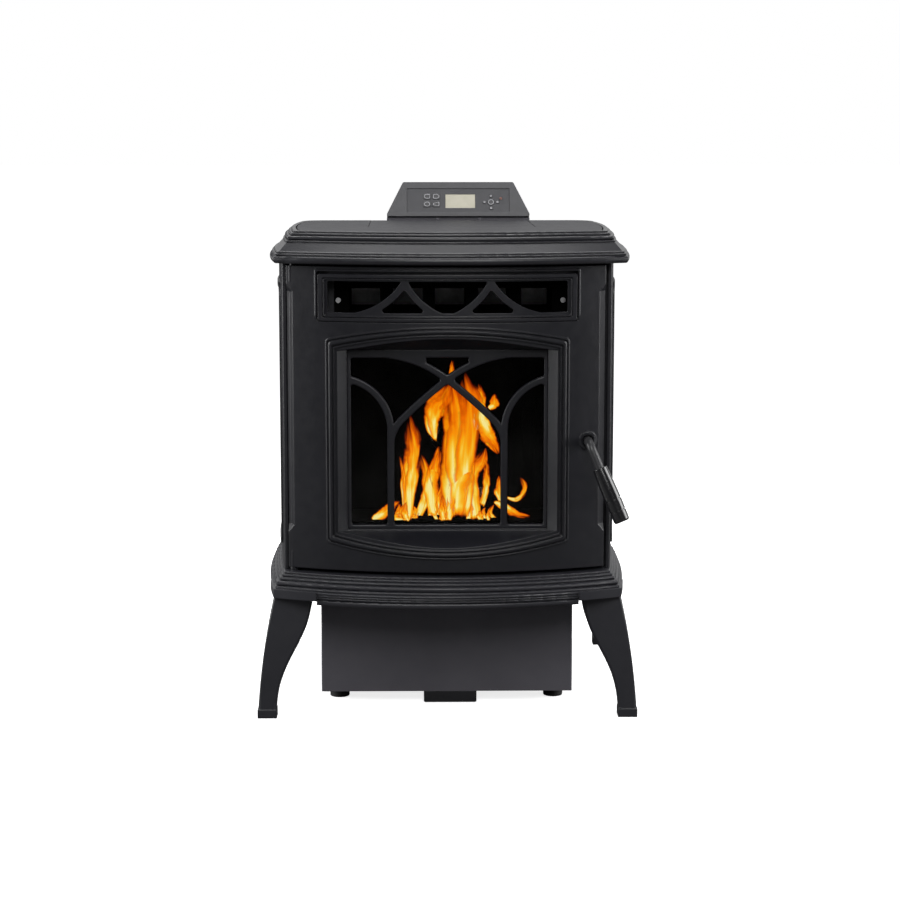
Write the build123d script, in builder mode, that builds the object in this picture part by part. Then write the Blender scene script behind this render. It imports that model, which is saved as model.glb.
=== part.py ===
"""A free-standing pellet stove of cast iron and sheet steel, in millimetres.

X runs across the stove, Y from its front to its back and Z up. The origin lies on the
floor under the middle of the stove. The front is bowed in plan about one vertical axis
behind the stove, and the sides are bowed about two far axes, so every casting takes its
outline from the same three arcs.
"""

import os
from math import cos, hypot, radians, sin, sqrt

from build123d import *

os.makedirs("parts", exist_ok=True)

# ---------------------------------------------------------------- driving dimensions

# Plan of the stove
overall_depth = 636
base_half_width = 320
door_face_radius = 670
door_setback = 33
side_radius = 1850
side_middle_y = 25
rear_setback = 14
body_rear_setback = 88
beyond = 2000

# Heights
leg_height = 212
base_top = 256
body_height = 532
cornice_height = 54

# General fits
fit_gap = 0.3
running_gap = 0.05
seat_gap = 0.5
sheet = 1.5
plate_steel = 4

# Base casting: beads of the skirt as (outset from its top edge, height), from the top down
bead_roundness = 0.42
skirt_beads = [(5, 4), (9, 5), (13, 6), (19, 8.5), (22, 5), (24, 5), (23.5, 3.5), (22, 4.5)]
skirt_fascia_setback = 4
skirt_fascia_height = 11
skirt_wall = 12
base_plate_thickness = 10
corner_block_size = 74
corner_block_height = 16
corner_block_proud = 1.5

# Legs
leg_splay_x = 28
leg_splay_y = 14
leg_setback_x = -2
leg_setback_y = 6
leg_top_width = 66
leg_foot_width = 31
leg_bevel = 4
foot_cap_height = 15
foot_cap_proud = 1.2
stud_radius = 4
stud_length = 36

# Pedestal box between the legs
pedestal_half_width = 223
pedestal_front_setback = 158
pedestal_rear_setback = 110
pedestal_clearance = 22
pad_radius = 17.5
pad_spacing_x = 385
pad_front_setback = 42
pad_rear_setback = 60
terminal_width = 94
terminal_depth = 60
terminal_offset_x = 6
terminal_ground_gap = 1.5

# Body castings
side_panel_setback = 21.5
side_panel_thickness = 7
side_panel_front_setback = 103
side_bead_margin_y = 32
side_bead_margin_z = 36
side_bead_width = 9
side_bead_proud = 3
side_bead_round = 24
front_frame_setback = 118
front_frame_thickness = 8

# Cornice and top
cornice_setback = 12
cornice_overhang = 46
cornice_side_half_width = 320.5
cornice_offset_x = 6
cornice_upper_beads = [(8, 3.5), (13, 5), (19, 7.5), (22, 4)]
cornice_slope_run = 13
cornice_slope_height = 14
cornice_lower_beads = [(38.5, 3.5), (42, 4)]
cornice_nose_round = 5.5
cornice_ledge = 20
cornice_rear_gap = 2
cornice_rear_round = 40
cornice_rear_bar = 20
top_plate_thickness = 8
top_plate_gap = 2

# Front door
door_left = 275
door_right = 271
door_bottom_gap = 6
door_top_gap = 4
door_skin = 9
door_rim = 9
door_back_gap = 5
door_chamfer = 9
door_chamfer_margin = 62
chamfer_turn = 32.7
hinge_inset = 10
hinge_pin_behind_face = 5
hinge_pin_radius = 4
hinge_boss_radius = 9
hinge_boss_height = 28
hinge_pin_engagement = 9
hinge_collar_radius = 8

# Window in the door
window_half_width = 165.5
window_low = 338
window_high = 627
tracery_side_rail = 6
tracery_top_rail = 14
tracery_bottom_rail = 7
tracery_bar = 12
tracery_thickness = 8
tracery_flange = 8
tracery_flange_thickness = 3
mullion_offset = 97.5
outer_arch_radius = 91
outer_arch_spring = 501
inner_arch_spring = 475.5
inner_arch_arcs = [(62, 45), (867, 7), (210, 32)]
crown_web_inner = 36
crown_web_outer = 60
crown_web_drop = 10.5
tracery_corner = 4.5
tracery_edge_round = 2.5
pocket_floor_setback = 45
pocket_margin = 3
moulding_half_width = 207.5
moulding_corner_low = 310
moulding_corner_high = 661
moulding_sill_rise = 25
moulding_head_rise = 22
moulding_corner_round = 7
window_block_half_width = 203
window_block_low = 288
window_block_high = 680
moulding_band = 19.5
sill_drop = 4
cavity_margin = 1.5
glass_thickness = 5
gasket_thickness = 3
glass_seat = 5
clip_length = 34
clip_width = 18
clip_spacing = 210
clip_seat = 10
clip_sheet = 2
clip_screw_radius = 2.5
clip_screw_length = 8
clip_head_radius = 4
rope_width = 8
rope_groove = 5
rope_inset = 11

# Window moulding: rings as (inset from its outer edge, width, height above the door)
moulding_rings = [(0, 2.5, 2.5), (4.5, 6.5, 3), (5.7, 4.1, 4.5), (13, 2.5, 2.5)]

# Upper grille in the door
grille_half_width = 220.5
grille_low = 691.5
grille_high = 771
grille_corner = 4
grille_side_gap = 2
grille_foot_gap = 1.2
grille_head_gap = 5
grille_frame_side = 16.5
grille_frame_head = 11.5
grille_frame_foot = 14.5
grille_bar_setback = 2
grille_bar = 11.5
grille_ledge = 7
grille_surround = 3
grille_surround_proud = 2
grille_opening_corner = 4
bowl_radius = 128.7
bowl_centre_x = 180.7
bowl_centre_z = 827
middle_bowl_radius = 127
middle_bowl_centre_x = 39.4
middle_bowl_centre_z = 817

# Frame of the grille: rings as (side, head, foot) insets of both edges and height
grille_rings = [
    ((0, 0, 0), (8, 6, 6), 1),
    ((9.2, 7.4, 7.2), (11.2, 9, 9), 0.5),
]

# Door handle and latch
handle_x = 241
handle_z = 484
handle_boss_radius = 16
handle_boss_proud = 6
handle_boss_bore = 10.5
handle_boss_bore_depth = 5
handle_rod_radius = 7.6
handle_bend_radius = 17
handle_standoff = 26
handle_slant = 22.9
handle_lean = 10
handle_rod_reach = 56
grip_start = 47
grip_length = 98.5
grip_radius = 14.2
grip_top_radius = 12.4
grip_end_radius = 13.6
grip_end_round = 4
grip_ring_groove = 0.8
grip_ring_places = (57, 77.5)
latch_length = 24
latch_width = 10
latch_thickness = 6
latch_behind = 9
catch_gap = 1
catch_size = 14

# Firebox
firebox_half_width = 212
firebox_depth = 147
firebox_height = 516
firebox_door_low = 318
firebox_door_high = 648
firebox_door_half_width = 182
firebox_floor_z = 326
firebox_floor_thickness = 8
liner_thickness = 8
liner_height = 342
liner_flute_pitch = 22
liner_flute_depth = 2
exchanger_count = 5
exchanger_pitch = 74
exchanger_duct_width = 57
exchanger_duct_height = 44
exchanger_z = 723
exchanger_offset_x = 6
exchanger_plate_margin = 30
exchanger_screw_spacing = 386
screw_shank_radius = 2.5
screw_head_radius = 4.5
screw_head_height = 3
pot_width = 92
pot_depth = 62
pot_height = 52
pot_wall = 4
pot_flange = 8
pot_hole_radius = 2.5
pot_from_rear = 70
igniter_radius = 5
igniter_offset_x = 15
igniter_above_pot = 20
igniter_tail = 25
igniter_collar = 4
ash_pan_height = 20
ash_pan_side_gap = 18
ash_pan_grip = 60
pan_grip_reach = 5
pan_opening_height = 26

# Hopper and auger
hopper_centre_x = 10
lid_half_width = 148
lid_front_y = -62
lid_thickness = 6
lid_gap = 0.6
lid_hinge_radius = 3.5
lid_pin_radius = 1.5
lid_hinge_knuckle = 100
hopper_rim = 9
hopper_flange = 12
throat_half_width = 24
throat_front_y = 70
throat_length = 60
throat_top_above_auger = 45
auger_z = 470
auger_tube_radius = 32
auger_tube_wall = 3
auger_tube_rear_y = 150
auger_chute_reach = 15
chute_cut = 13
auger_shaft_radius = 7
auger_flight_gap = 1.5
auger_flight_thickness = 3
auger_pitch = 42
gearbox_size = 76
gearbox_depth = 32
gearbox_corner = 6
auger_motor_radius = 30
auger_motor_length = 34

# Exhaust blower and flue
exhaust_x = 115
blower_y = 120
blower_z = 345
exhaust_width = 84
blower_radius = 64
exhaust_outlet_height = 80
flue_radius = 38.1
flue_wall = 1.5
flue_flange = 9
impeller_radius = 52
impeller_width = 30
impeller_blades = 10
fan_shaft_radius = 5
fan_hub_radius = 10
fan_sheet = 1.5
fan_motor_radius = 40
fan_motor_length = 56
exhaust_inlet_width = 50
exhaust_inlet_height = 60

# Convection blower
convection_x = -125
convection_width = 116
wheel_radius = 54
wheel_width = 90
wheel_blades = 28
wheel_blade_depth = 10
convection_inlet_radius = 42
plenum_depth = 22
plenum_half_width = 186
plenum_low_z = 410
plenum_high_z = 760
duct_height = 68

# Air intake and rear
intake_radius = 25.4
intake_x = -30
intake_z = 290
intake_reach = 42
rear_panel_thickness = 1.5
louvre_count = 7
louvre_length = 90
louvre_height = 5
louvre_pitch = 13
inlet_width = 28
inlet_height = 22
inlet_depth = 24
inlet_x = -215
inlet_z = 300

# Control panel
panel_x = 28
panel_behind_cornice = 23
panel_above_top = 7
panel_tilt = 24
panel_base_width = 278
panel_top_width = 212
panel_height = 70
panel_depth = 30
panel_round = 4
face_width = 197
face_height = 49
face_above_base = 8
face_recess = 2.5
face_thickness = 1.5
face_rim = 4
cavity_depth = 22
display_width = 57
display_height = 28
display_offset_x = 4
display_offset_v = -1.5
display_thickness = 4
key_travel = 0.5
key_proud = 0.9
key_length = 4
key_gap = 0.3
square_key_width = 14
square_key_height = 11.5
square_keys_x = -51
square_key_pitch_x = 17.5
square_key_pitch_v = 16
nav_x = 63
nav_v = -3.8
nav_centre_radius = 6.5
nav_reach = 12.4
nav_key_size = 6
round_key_x = 82
round_key_v = 3.8
round_key_radius = 3.4
bracket_setback = 2
bracket_height = 36
bracket_side_gap = 2
bracket_arm_width = 24
bracket_arm_thickness = 5
bracket_arm_spacing = 180
post_radius = 2.5
post_left_x = -40
post_right_x = 41

# ---------------------------------------------------------------- derived places

lip_reach = overall_depth / 2
flue_reach = overall_depth / 2
base_rear_y = overall_depth / 2 - rear_setback
door_reach = lip_reach - door_setback
bow_centre_y = door_face_radius - door_reach
body_top = base_top + body_height
cornice_top = body_top + cornice_height
body_rear_y = overall_depth / 2 - body_rear_setback
panel_rear_y = body_rear_y - rear_panel_thickness
front_frame_y = -lip_reach + front_frame_setback
firebox_front_y = front_frame_y + front_frame_thickness
firebox_rear_y = firebox_front_y + firebox_depth
door_back_y = front_frame_y - door_back_gap
door_bottom = base_top + door_bottom_gap
door_top = body_top - door_top_gap


def front_y(reach, x):
    """Y of a front arc that reaches this far ahead of the origin, at x."""
    return bow_centre_y - sqrt((bow_centre_y + reach) ** 2 - x * x)


def side_x(half_width, y):
    """X of a right side arc with this greatest half width, at y."""
    return half_width - side_radius + sqrt(side_radius**2 - (y - side_middle_y) ** 2)


def plan_corner(front, half_width):
    """Where a front arc and a right side arc meet, found by halving."""
    low, high = -front, side_middle_y
    for _ in range(60):
        y = (low + high) / 2
        if hypot(side_x(half_width, y), y - bow_centre_y) > bow_centre_y + front:
            low = y
        else:
            high = y
    return side_x(half_width, high), high


def plan_outline(front, half_width, rear):
    """Bowed front, bowed sides and straight rear, drawn into the current sketch."""
    with Locations((0, bow_centre_y)):
        Circle(bow_centre_y + front)
    for hand in (-1, 1):
        with Locations((hand * (half_width - side_radius), side_middle_y)):
            Circle(side_radius, mode=Mode.INTERSECT)
    with Locations((0, rear - beyond)):
        Rectangle(2 * beyond, 2 * beyond, mode=Mode.INTERSECT)


def rear_corners(sketch):
    """The two rear corners of a plan outline."""
    return sketch.vertices().group_by(Axis.Y)[-1]


def bead_layer(front, half_width, rear, top_z, height, roundness, rear_round=0):
    """One member of a moulding: a slab of the plan outline with rounded edges."""
    with BuildPart() as layer:
        with BuildSketch(Plane.XY.offset(top_z)) as outline:
            plan_outline(front, half_width, rear)
            if rear_round:
                fillet(rear_corners(outline), rear_round)
        extrude(amount=-height)
        if roundness:
            rims = layer.edges().filter_by(Plane.XY)
            fillet(rims.filter_by(lambda rim: (rim @ 0.5).Y < rear - 1), roundness)
    return layer.part


def bead_stack(front, half_width, rear, top_z, members, rear_round=0):
    """Members of a moulding as (outset, height), one under the other, as one solid."""
    with BuildPart() as stack:
        z = top_z
        for outset, height in members:
            add(
                bead_layer(
                    front + outset,
                    half_width + outset,
                    rear,
                    z,
                    height,
                    bead_roundness * height,
                    rear_round,
                )
            )
            z -= height
    return stack.part


def elevation_box(left, right, low, high, round_corners=0, mode=Mode.ADD):
    """A rectangle with rounded corners, drawn into the current upright sketch."""
    with Locations(((left + right) / 2, (low + high) / 2)):
        if round_corners:
            RectangleRounded(right - left, high - low, round_corners, mode=mode)
        else:
            Rectangle(right - left, high - low, mode=mode)


def upright(y):
    """Upright plane that looks along +Y: local X is X, local Y is Z, extrude goes to -Y."""
    return Plane(origin=(0, y, 0), x_dir=(1, 0, 0), z_dir=(0, -1, 0))


def bowed_shell(outer_reach, inner_reach, low, high):
    """A bowed plate between two front arcs, to cut door trim to the door's bow."""
    with BuildPart() as shell:
        with BuildSketch(Plane.XY.offset(low)):
            with Locations((0, bow_centre_y)):
                Circle(bow_centre_y + outer_reach)
                Circle(bow_centre_y + inner_reach, mode=Mode.SUBTRACT)
            with Locations((0, front_frame_y - beyond)):
                Rectangle(2 * beyond, 2 * beyond, mode=Mode.INTERSECT)
        extrude(amount=high - low)
    return shell.part


def save(part, name):
    """Label a finished piece and write it to its own file."""
    part.label = name
    export_step(part, f"parts/{name}.step")


# ---------------------------------------------------------------- base casting

skirt_peak = max(outset for outset, _ in skirt_beads)
skirt_drop = sum(height for _, height in skirt_beads)
skirt_top_reach = lip_reach - skirt_peak
skirt_top_half_width = base_half_width - skirt_peak
skirt_height = skirt_drop + skirt_fascia_height
apron_bottom = base_top - skirt_height
base_corner_x, base_corner_y = plan_corner(lip_reach, base_half_width)
rear_corner_x = side_x(base_half_width, base_rear_y)
base_plate_bottom = base_top - base_plate_thickness

stud_places = [
    (hand * (corner_x - leg_top_width / 2), corner_y + inward * leg_top_width / 2)
    for hand in (-1, 1)
    for corner_x, corner_y, inward in (
        (base_corner_x, base_corner_y, 1),
        (rear_corner_x, base_rear_y, -1),
    )
]

# Hinge axis of the door
hinge_x = -(door_left - hinge_inset)
hinge_y = front_y(door_reach, door_left) + hinge_pin_behind_face

skirt = bead_stack(
    skirt_top_reach,
    skirt_top_half_width,
    base_rear_y,
    base_top,
    skirt_beads + [(skirt_peak - skirt_fascia_setback, skirt_fascia_height)],
)

with BuildPart() as base_casting:
    add(skirt)
    for hand in (-1, 1):
        for corner_x, corner_y in ((base_corner_x, base_corner_y), (rear_corner_x, base_rear_y)):
            with BuildSketch(Plane.XY.offset(leg_height)):
                plan_outline(
                    lip_reach + corner_block_proud,
                    base_half_width + corner_block_proud,
                    base_rear_y,
                )
                with Locations((hand * corner_x, corner_y)):
                    Rectangle(2 * corner_block_size, 2 * corner_block_size, mode=Mode.INTERSECT)
            extrude(amount=corner_block_height)
    with BuildSketch(Plane.XY.offset(apron_bottom)):
        plan_outline(
            skirt_top_reach - skirt_wall,
            skirt_top_half_width - skirt_wall,
            base_rear_y - skirt_wall,
        )
        for hand in (-1, 1):
            for corner_x, corner_y in (
                (base_corner_x, base_corner_y),
                (rear_corner_x, base_rear_y),
            ):
                with Locations((hand * corner_x, corner_y)):
                    Rectangle(2 * corner_block_size, 2 * corner_block_size, mode=Mode.SUBTRACT)
    extrude(amount=base_plate_bottom - apron_bottom, mode=Mode.SUBTRACT)
    for hand in (-1, 1):
        for corner_x, corner_y in ((base_corner_x, base_corner_y), (rear_corner_x, base_rear_y)):
            with BuildSketch(Plane.XY.offset(apron_bottom)):
                with Locations((hand * corner_x, corner_y)):
                    Rectangle(2 * corner_block_size, 2 * corner_block_size)
            extrude(amount=leg_height - apron_bottom, mode=Mode.SUBTRACT)
    with Locations((hinge_x, hinge_y, base_top)):
        Cylinder(hinge_pin_radius + running_gap, 2 * hinge_pin_engagement, mode=Mode.SUBTRACT)
    with Locations(*[(x, y, leg_height) for x, y in stud_places]):
        Cylinder(stud_radius + fit_gap, stud_length + 2 * fit_gap, mode=Mode.SUBTRACT)
save(base_casting.part, "base_casting")

# ---------------------------------------------------------------- legs

def leg_outline(splay):
    """Cabriole outline, outwards along local X from the leg's top outer edge, Z up."""
    foot_outer = splay
    foot_inner = splay - leg_foot_width
    inner_run = foot_inner + leg_top_width
    with BuildLine() as outline:
        ThreePointArc(
            (0, leg_height), (0.64 * splay, 0.53 * leg_height), (foot_outer, foot_cap_height)
        )
        Polyline((foot_outer, foot_cap_height), (foot_outer, 0), (foot_inner, 0))
        Bezier(
            (foot_inner, 0),
            (foot_inner, 0.5 * leg_height),
            (foot_inner - inner_run, 0.62 * leg_height),
            (-leg_top_width, leg_height),
        )
        Line((-leg_top_width, leg_height), (0, leg_height))
    make_face(outline.edges())


def cast_leg(corner_x, corner_y, splay_y):
    """One leg: its front and side outlines crossed, with bevels and a foot cap.

    It stands at a right-hand corner, splayed to +X and, as splay_y is signed, to -Y or +Y.
    """
    outward_y = 1 if splay_y > 0 else -1
    with BuildPart() as leg:
        with BuildSketch(
            Plane(origin=(corner_x, corner_y, 0), x_dir=(1, 0, 0), z_dir=(0, -1, 0))
        ):
            leg_outline(leg_splay_x)
        extrude(amount=2 * leg_top_width, both=True)
        with BuildSketch(
            Plane(
                origin=(corner_x, corner_y, 0),
                x_dir=(0, outward_y, 0),
                z_dir=(outward_y, 0, 0),
            )
        ):
            leg_outline(abs(splay_y))
        extrude(amount=2 * leg_top_width, both=True, mode=Mode.INTERSECT)
        upright_edges = leg.edges().filter_by(
            lambda edge: abs((edge @ 0).Z - (edge @ 1).Z) > leg_height / 2
        )
        chamfer(upright_edges, leg_bevel)
        cap_x = corner_x + leg_splay_x - leg_foot_width / 2
        cap_y = corner_y + splay_y - outward_y * leg_foot_width / 2
        with BuildSketch():
            with Locations((cap_x, cap_y)):
                Rectangle(leg_foot_width + 2 * foot_cap_proud, leg_foot_width + 2 * foot_cap_proud)
        extrude(amount=foot_cap_height)
    return leg.part


front_leg = cast_leg(
    base_corner_x - leg_setback_x, base_corner_y + leg_setback_y, -leg_splay_y
)
rear_leg = cast_leg(rear_corner_x - leg_setback_x, base_rear_y, rear_setback - foot_cap_proud)

with BuildPart() as legs:
    for leg in (front_leg, rear_leg):
        add(leg)
        add(mirror(leg, about=Plane.YZ, mode=Mode.PRIVATE))
    with Locations(*[(x, y, leg_height) for x, y in stud_places]):
        Cylinder(stud_radius + fit_gap, stud_length + 2 * fit_gap, mode=Mode.SUBTRACT)
save(legs.part, "legs")

# ---------------------------------------------------------------- pedestal box

pedestal_front_y = -lip_reach + pedestal_front_setback
pedestal_rear_y = base_rear_y - pedestal_rear_setback
pedestal_length = pedestal_rear_y - pedestal_front_y
pedestal_top = base_plate_bottom

with BuildPart() as pedestal_box:
    with Locations(
        (0, (pedestal_front_y + pedestal_rear_y) / 2, (pedestal_clearance + pedestal_top) / 2)
    ):
        Box(2 * pedestal_half_width, pedestal_length, pedestal_top - pedestal_clearance)
    fillet(pedestal_box.edges().filter_by(Axis.Z), 2 * sheet)
    with Locations(
        (
            0,
            (pedestal_front_y + pedestal_rear_y) / 2 + sheet,
            (pedestal_clearance + pedestal_top) / 2,
        )
    ):
        Box(
            2 * (pedestal_half_width - sheet),
            pedestal_length,
            pedestal_top - pedestal_clearance - 2 * sheet,
            mode=Mode.SUBTRACT,
        )
save(pedestal_box.part, "pedestal_box")

pad_front_y = pedestal_front_y + pad_front_setback + pad_radius
pad_rear_y = pedestal_rear_y - pad_rear_setback
pad_lip = 2

with BuildPart() as pedestal_pads:
    with Locations(
        *[(hand * pad_spacing_x / 2, y, 0) for hand in (-1, 1) for y in (pad_front_y, pad_rear_y)]
    ):
        Cylinder(pad_radius, pedestal_clearance, align=(Align.CENTER, Align.CENTER, Align.MIN))
    fillet(pedestal_pads.edges().group_by(Axis.Z)[0], pad_lip)
save(pedestal_pads.part, "pedestal_pads")

with BuildPart() as terminal_box:
    with BuildSketch(Plane.XY.offset(terminal_ground_gap)):
        with Locations((terminal_offset_x, pedestal_front_y + terminal_depth / 2)):
            RectangleRounded(terminal_width, terminal_depth, 3 * sheet)
    extrude(amount=pedestal_clearance - terminal_ground_gap)
    fillet(terminal_box.edges().group_by(Axis.Z)[0], sheet)
    seam_x = terminal_offset_x - terminal_width / 4
    with Locations((seam_x, pedestal_front_y, pedestal_clearance / 2)):
        Box(sheet / 2, sheet, pedestal_clearance, mode=Mode.SUBTRACT)
save(terminal_box.part, "terminal_box")

# ---------------------------------------------------------------- side panels

panel_half_width = base_half_width - side_panel_setback
panel_inner_half_width = panel_half_width - side_panel_thickness
side_front_y = -lip_reach + side_panel_front_setback


def side_strip(outer, inner):
    """The strip in plan between two right side arcs, drawn into the current sketch."""
    with Locations((outer - side_radius, side_middle_y)):
        Circle(side_radius)
    with Locations((inner - side_radius, side_middle_y)):
        Circle(side_radius, mode=Mode.SUBTRACT)
    with Locations((outer, (side_front_y + body_rear_y) / 2)):
        Rectangle(overall_depth / 2, body_rear_y - side_front_y, mode=Mode.INTERSECT)


with BuildPart() as side_bead:
    with BuildSketch(Plane.XY.offset(base_top)):
        side_strip(panel_half_width + side_bead_proud, panel_half_width - side_bead_proud)
    extrude(amount=body_height)
    with BuildSketch(Plane.YZ):
        bead_length = body_rear_y - side_front_y - 2 * side_bead_margin_y
        bead_height = body_height - 2 * side_bead_margin_z
        with Locations(((side_front_y + body_rear_y) / 2, base_top + body_height / 2)):
            RectangleRounded(bead_length, bead_height, side_bead_round)
            RectangleRounded(
                bead_length - 2 * side_bead_width,
                bead_height - 2 * side_bead_width,
                side_bead_round - side_bead_width,
                mode=Mode.SUBTRACT,
            )
    extrude(amount=beyond, mode=Mode.INTERSECT)

with BuildPart() as side_panel_right:
    with BuildSketch(Plane.XY.offset(base_top)):
        side_strip(panel_half_width, panel_inner_half_width)
    extrude(amount=body_height)
    front_edge = side_panel_right.edges().filter_by(Axis.Z).group_by(Axis.Y)[0]
    fillet(front_edge.sort_by(Axis.X)[-1], side_panel_thickness / 2)
    add(side_bead.part)
save(side_panel_right.part, "side_panel_right")

with BuildPart() as side_panel_left:
    add(mirror(side_panel_right.part, about=Plane.YZ, mode=Mode.PRIVATE))
save(side_panel_left.part, "side_panel_left")

# ---------------------------------------------------------------- cornice and top plate

lid_edge_reach = lip_reach - cornice_setback - cornice_overhang
lid_edge_half_width = cornice_side_half_width - cornice_overhang
cornice_rear_y = body_rear_y + cornice_rear_gap



def cornice_plane(z):
    """Level plane of the cornice, which sits a little to the right of the body."""
    return Plane(origin=(cornice_offset_x, 0, z))


upper_members = bead_stack(
    lid_edge_reach,
    lid_edge_half_width,
    cornice_rear_y,
    cornice_top,
    cornice_upper_beads,
    cornice_rear_round,
)
slope_top = cornice_top - sum(height for _, height in cornice_upper_beads)
slope_outset = cornice_upper_beads[-1][0]
slope_bottom = slope_top - cornice_slope_height
lower_members = bead_stack(
    lid_edge_reach,
    lid_edge_half_width,
    cornice_rear_y,
    slope_bottom,
    cornice_lower_beads,
    cornice_rear_round,
)
nose_top = slope_bottom - sum(height for _, height in cornice_lower_beads)
nose = bead_layer(
    lid_edge_reach + cornice_overhang,
    lid_edge_half_width + cornice_overhang,
    cornice_rear_y,
    nose_top,
    nose_top - body_top,
    cornice_nose_round,
    cornice_rear_round,
)
ledge_z = cornice_top - top_plate_thickness
lid_left = hopper_centre_x - lid_half_width
lid_right = hopper_centre_x + lid_half_width
lid_hinge_y = cornice_rear_y - cornice_rear_gap - lid_hinge_radius - fit_gap
lid_hinge_z = cornice_top - lid_hinge_radius

with BuildPart() as cornice:
    add(Pos(cornice_offset_x, 0, 0) * upper_members)
    with BuildSketch(cornice_plane(slope_top)) as slope_upper:
        plan_outline(
            lid_edge_reach + slope_outset, lid_edge_half_width + slope_outset, cornice_rear_y
        )
        fillet(rear_corners(slope_upper), cornice_rear_round)
    with BuildSketch(cornice_plane(slope_bottom)) as slope_lower:
        plan_outline(
            lid_edge_reach + slope_outset + cornice_slope_run,
            lid_edge_half_width + slope_outset + cornice_slope_run,
            cornice_rear_y,
        )
        fillet(rear_corners(slope_lower), cornice_rear_round)
    loft(ruled=True)
    add(Pos(cornice_offset_x, 0, 0) * lower_members)
    add(Pos(cornice_offset_x, 0, 0) * nose)
    with BuildSketch(cornice_plane(ledge_z)) as inset:
        plan_outline(lid_edge_reach, lid_edge_half_width, cornice_rear_y - cornice_rear_gap)
        fillet(rear_corners(inset), cornice_rear_round - cornice_rear_gap)
    extrude(amount=top_plate_thickness, mode=Mode.SUBTRACT)
    with BuildSketch(cornice_plane(body_top)):
        plan_outline(
            lid_edge_reach - cornice_ledge,
            lid_edge_half_width - cornice_ledge,
            cornice_rear_y - cornice_rear_bar,
        )
    extrude(amount=cornice_height, mode=Mode.SUBTRACT)
    with Locations((hinge_x, hinge_y, body_top)):
        Cylinder(hinge_pin_radius + running_gap, 2 * hinge_pin_engagement, mode=Mode.SUBTRACT)
    with Locations((hopper_centre_x, cornice_rear_y, cornice_top)):
        Box(
            2 * lid_half_width,
            2 * cornice_rear_gap + 2 * fit_gap,
            2 * top_plate_thickness,
            mode=Mode.SUBTRACT,
        )
    with BuildSketch(Plane.YZ.offset(hopper_centre_x)):
        with Locations((lid_hinge_y, lid_hinge_z)):
            Circle(lid_hinge_radius)
        with Locations((lid_hinge_y, (lid_hinge_z + ledge_z) / 2)):
            Rectangle(lid_hinge_radius, lid_hinge_z - ledge_z)
    extrude(amount=lid_half_width - lid_hinge_knuckle, both=True)
    with BuildSketch(Plane.YZ.offset(hopper_centre_x)):
        with Locations((lid_hinge_y, lid_hinge_z)):
            Circle(lid_pin_radius + running_gap)
    extrude(amount=lid_half_width, both=True, mode=Mode.SUBTRACT)
save(cornice.part, "cornice")

lid_rear_y = lid_hinge_y - lid_hinge_radius - fit_gap

with BuildPart() as top_plate:
    with BuildSketch(cornice_plane(ledge_z)) as top_outline:
        plan_outline(
            lid_edge_reach - top_plate_gap,
            lid_edge_half_width - top_plate_gap,
            cornice_rear_y - cornice_rear_gap - top_plate_gap,
        )
        fillet(rear_corners(top_outline), cornice_rear_round - cornice_rear_gap)
        with Locations((hopper_centre_x - cornice_offset_x, lid_front_y - lid_gap + beyond / 2)):
            Rectangle(2 * (lid_half_width + lid_gap), beyond, mode=Mode.SUBTRACT)
    extrude(amount=top_plate_thickness)
    fillet(top_plate.edges().group_by(Axis.Z)[-1], sheet / 2)
save(top_plate.part, "top_plate")

# ---------------------------------------------------------------- hopper and its lid

with BuildPart() as hopper_lid:
    with BuildSketch(Plane.XY.offset(cornice_top - lid_thickness)):
        elevation_box(lid_left, lid_right, lid_front_y, lid_rear_y)
    extrude(amount=lid_thickness)
    fillet(hopper_lid.edges().group_by(Axis.Z)[-1], sheet / 2)
    for hand in (-1, 1):
        knuckle_start = lid_half_width - lid_hinge_knuckle + fit_gap
        with BuildSketch(Plane.YZ.offset(hopper_centre_x + hand * knuckle_start)):
            with Locations((lid_hinge_y, lid_hinge_z)):
                Circle(lid_hinge_radius)
            web_front = lid_rear_y - sheet
            with Locations(((web_front + lid_hinge_y) / 2, lid_hinge_z)):
                Rectangle(lid_hinge_y - web_front, lid_hinge_radius)
            with Locations((lid_hinge_y, lid_hinge_z)):
                Circle(lid_pin_radius, mode=Mode.SUBTRACT)
        extrude(amount=hand * (lid_hinge_knuckle - fit_gap - sheet))
save(hopper_lid.part, "hopper_lid")

with BuildPart() as lid_hinge_pin:
    with BuildSketch(Plane.YZ.offset(hopper_centre_x)):
        with Locations((lid_hinge_y, lid_hinge_z)):
            Circle(lid_pin_radius)
    extrude(amount=lid_half_width - sheet, both=True)
save(lid_hinge_pin.part, "lid_hinge_pin")

hopper_top_z = ledge_z
hopper_front_y = lid_front_y + hopper_flange + hopper_rim
hopper_rear_y = cornice_rear_y - cornice_rear_bar - hopper_flange - seat_gap
hopper_half_width = lid_half_width - hopper_rim
auger_top_z = auger_z + throat_top_above_auger
throat_rear_y = throat_front_y + throat_length

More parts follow.
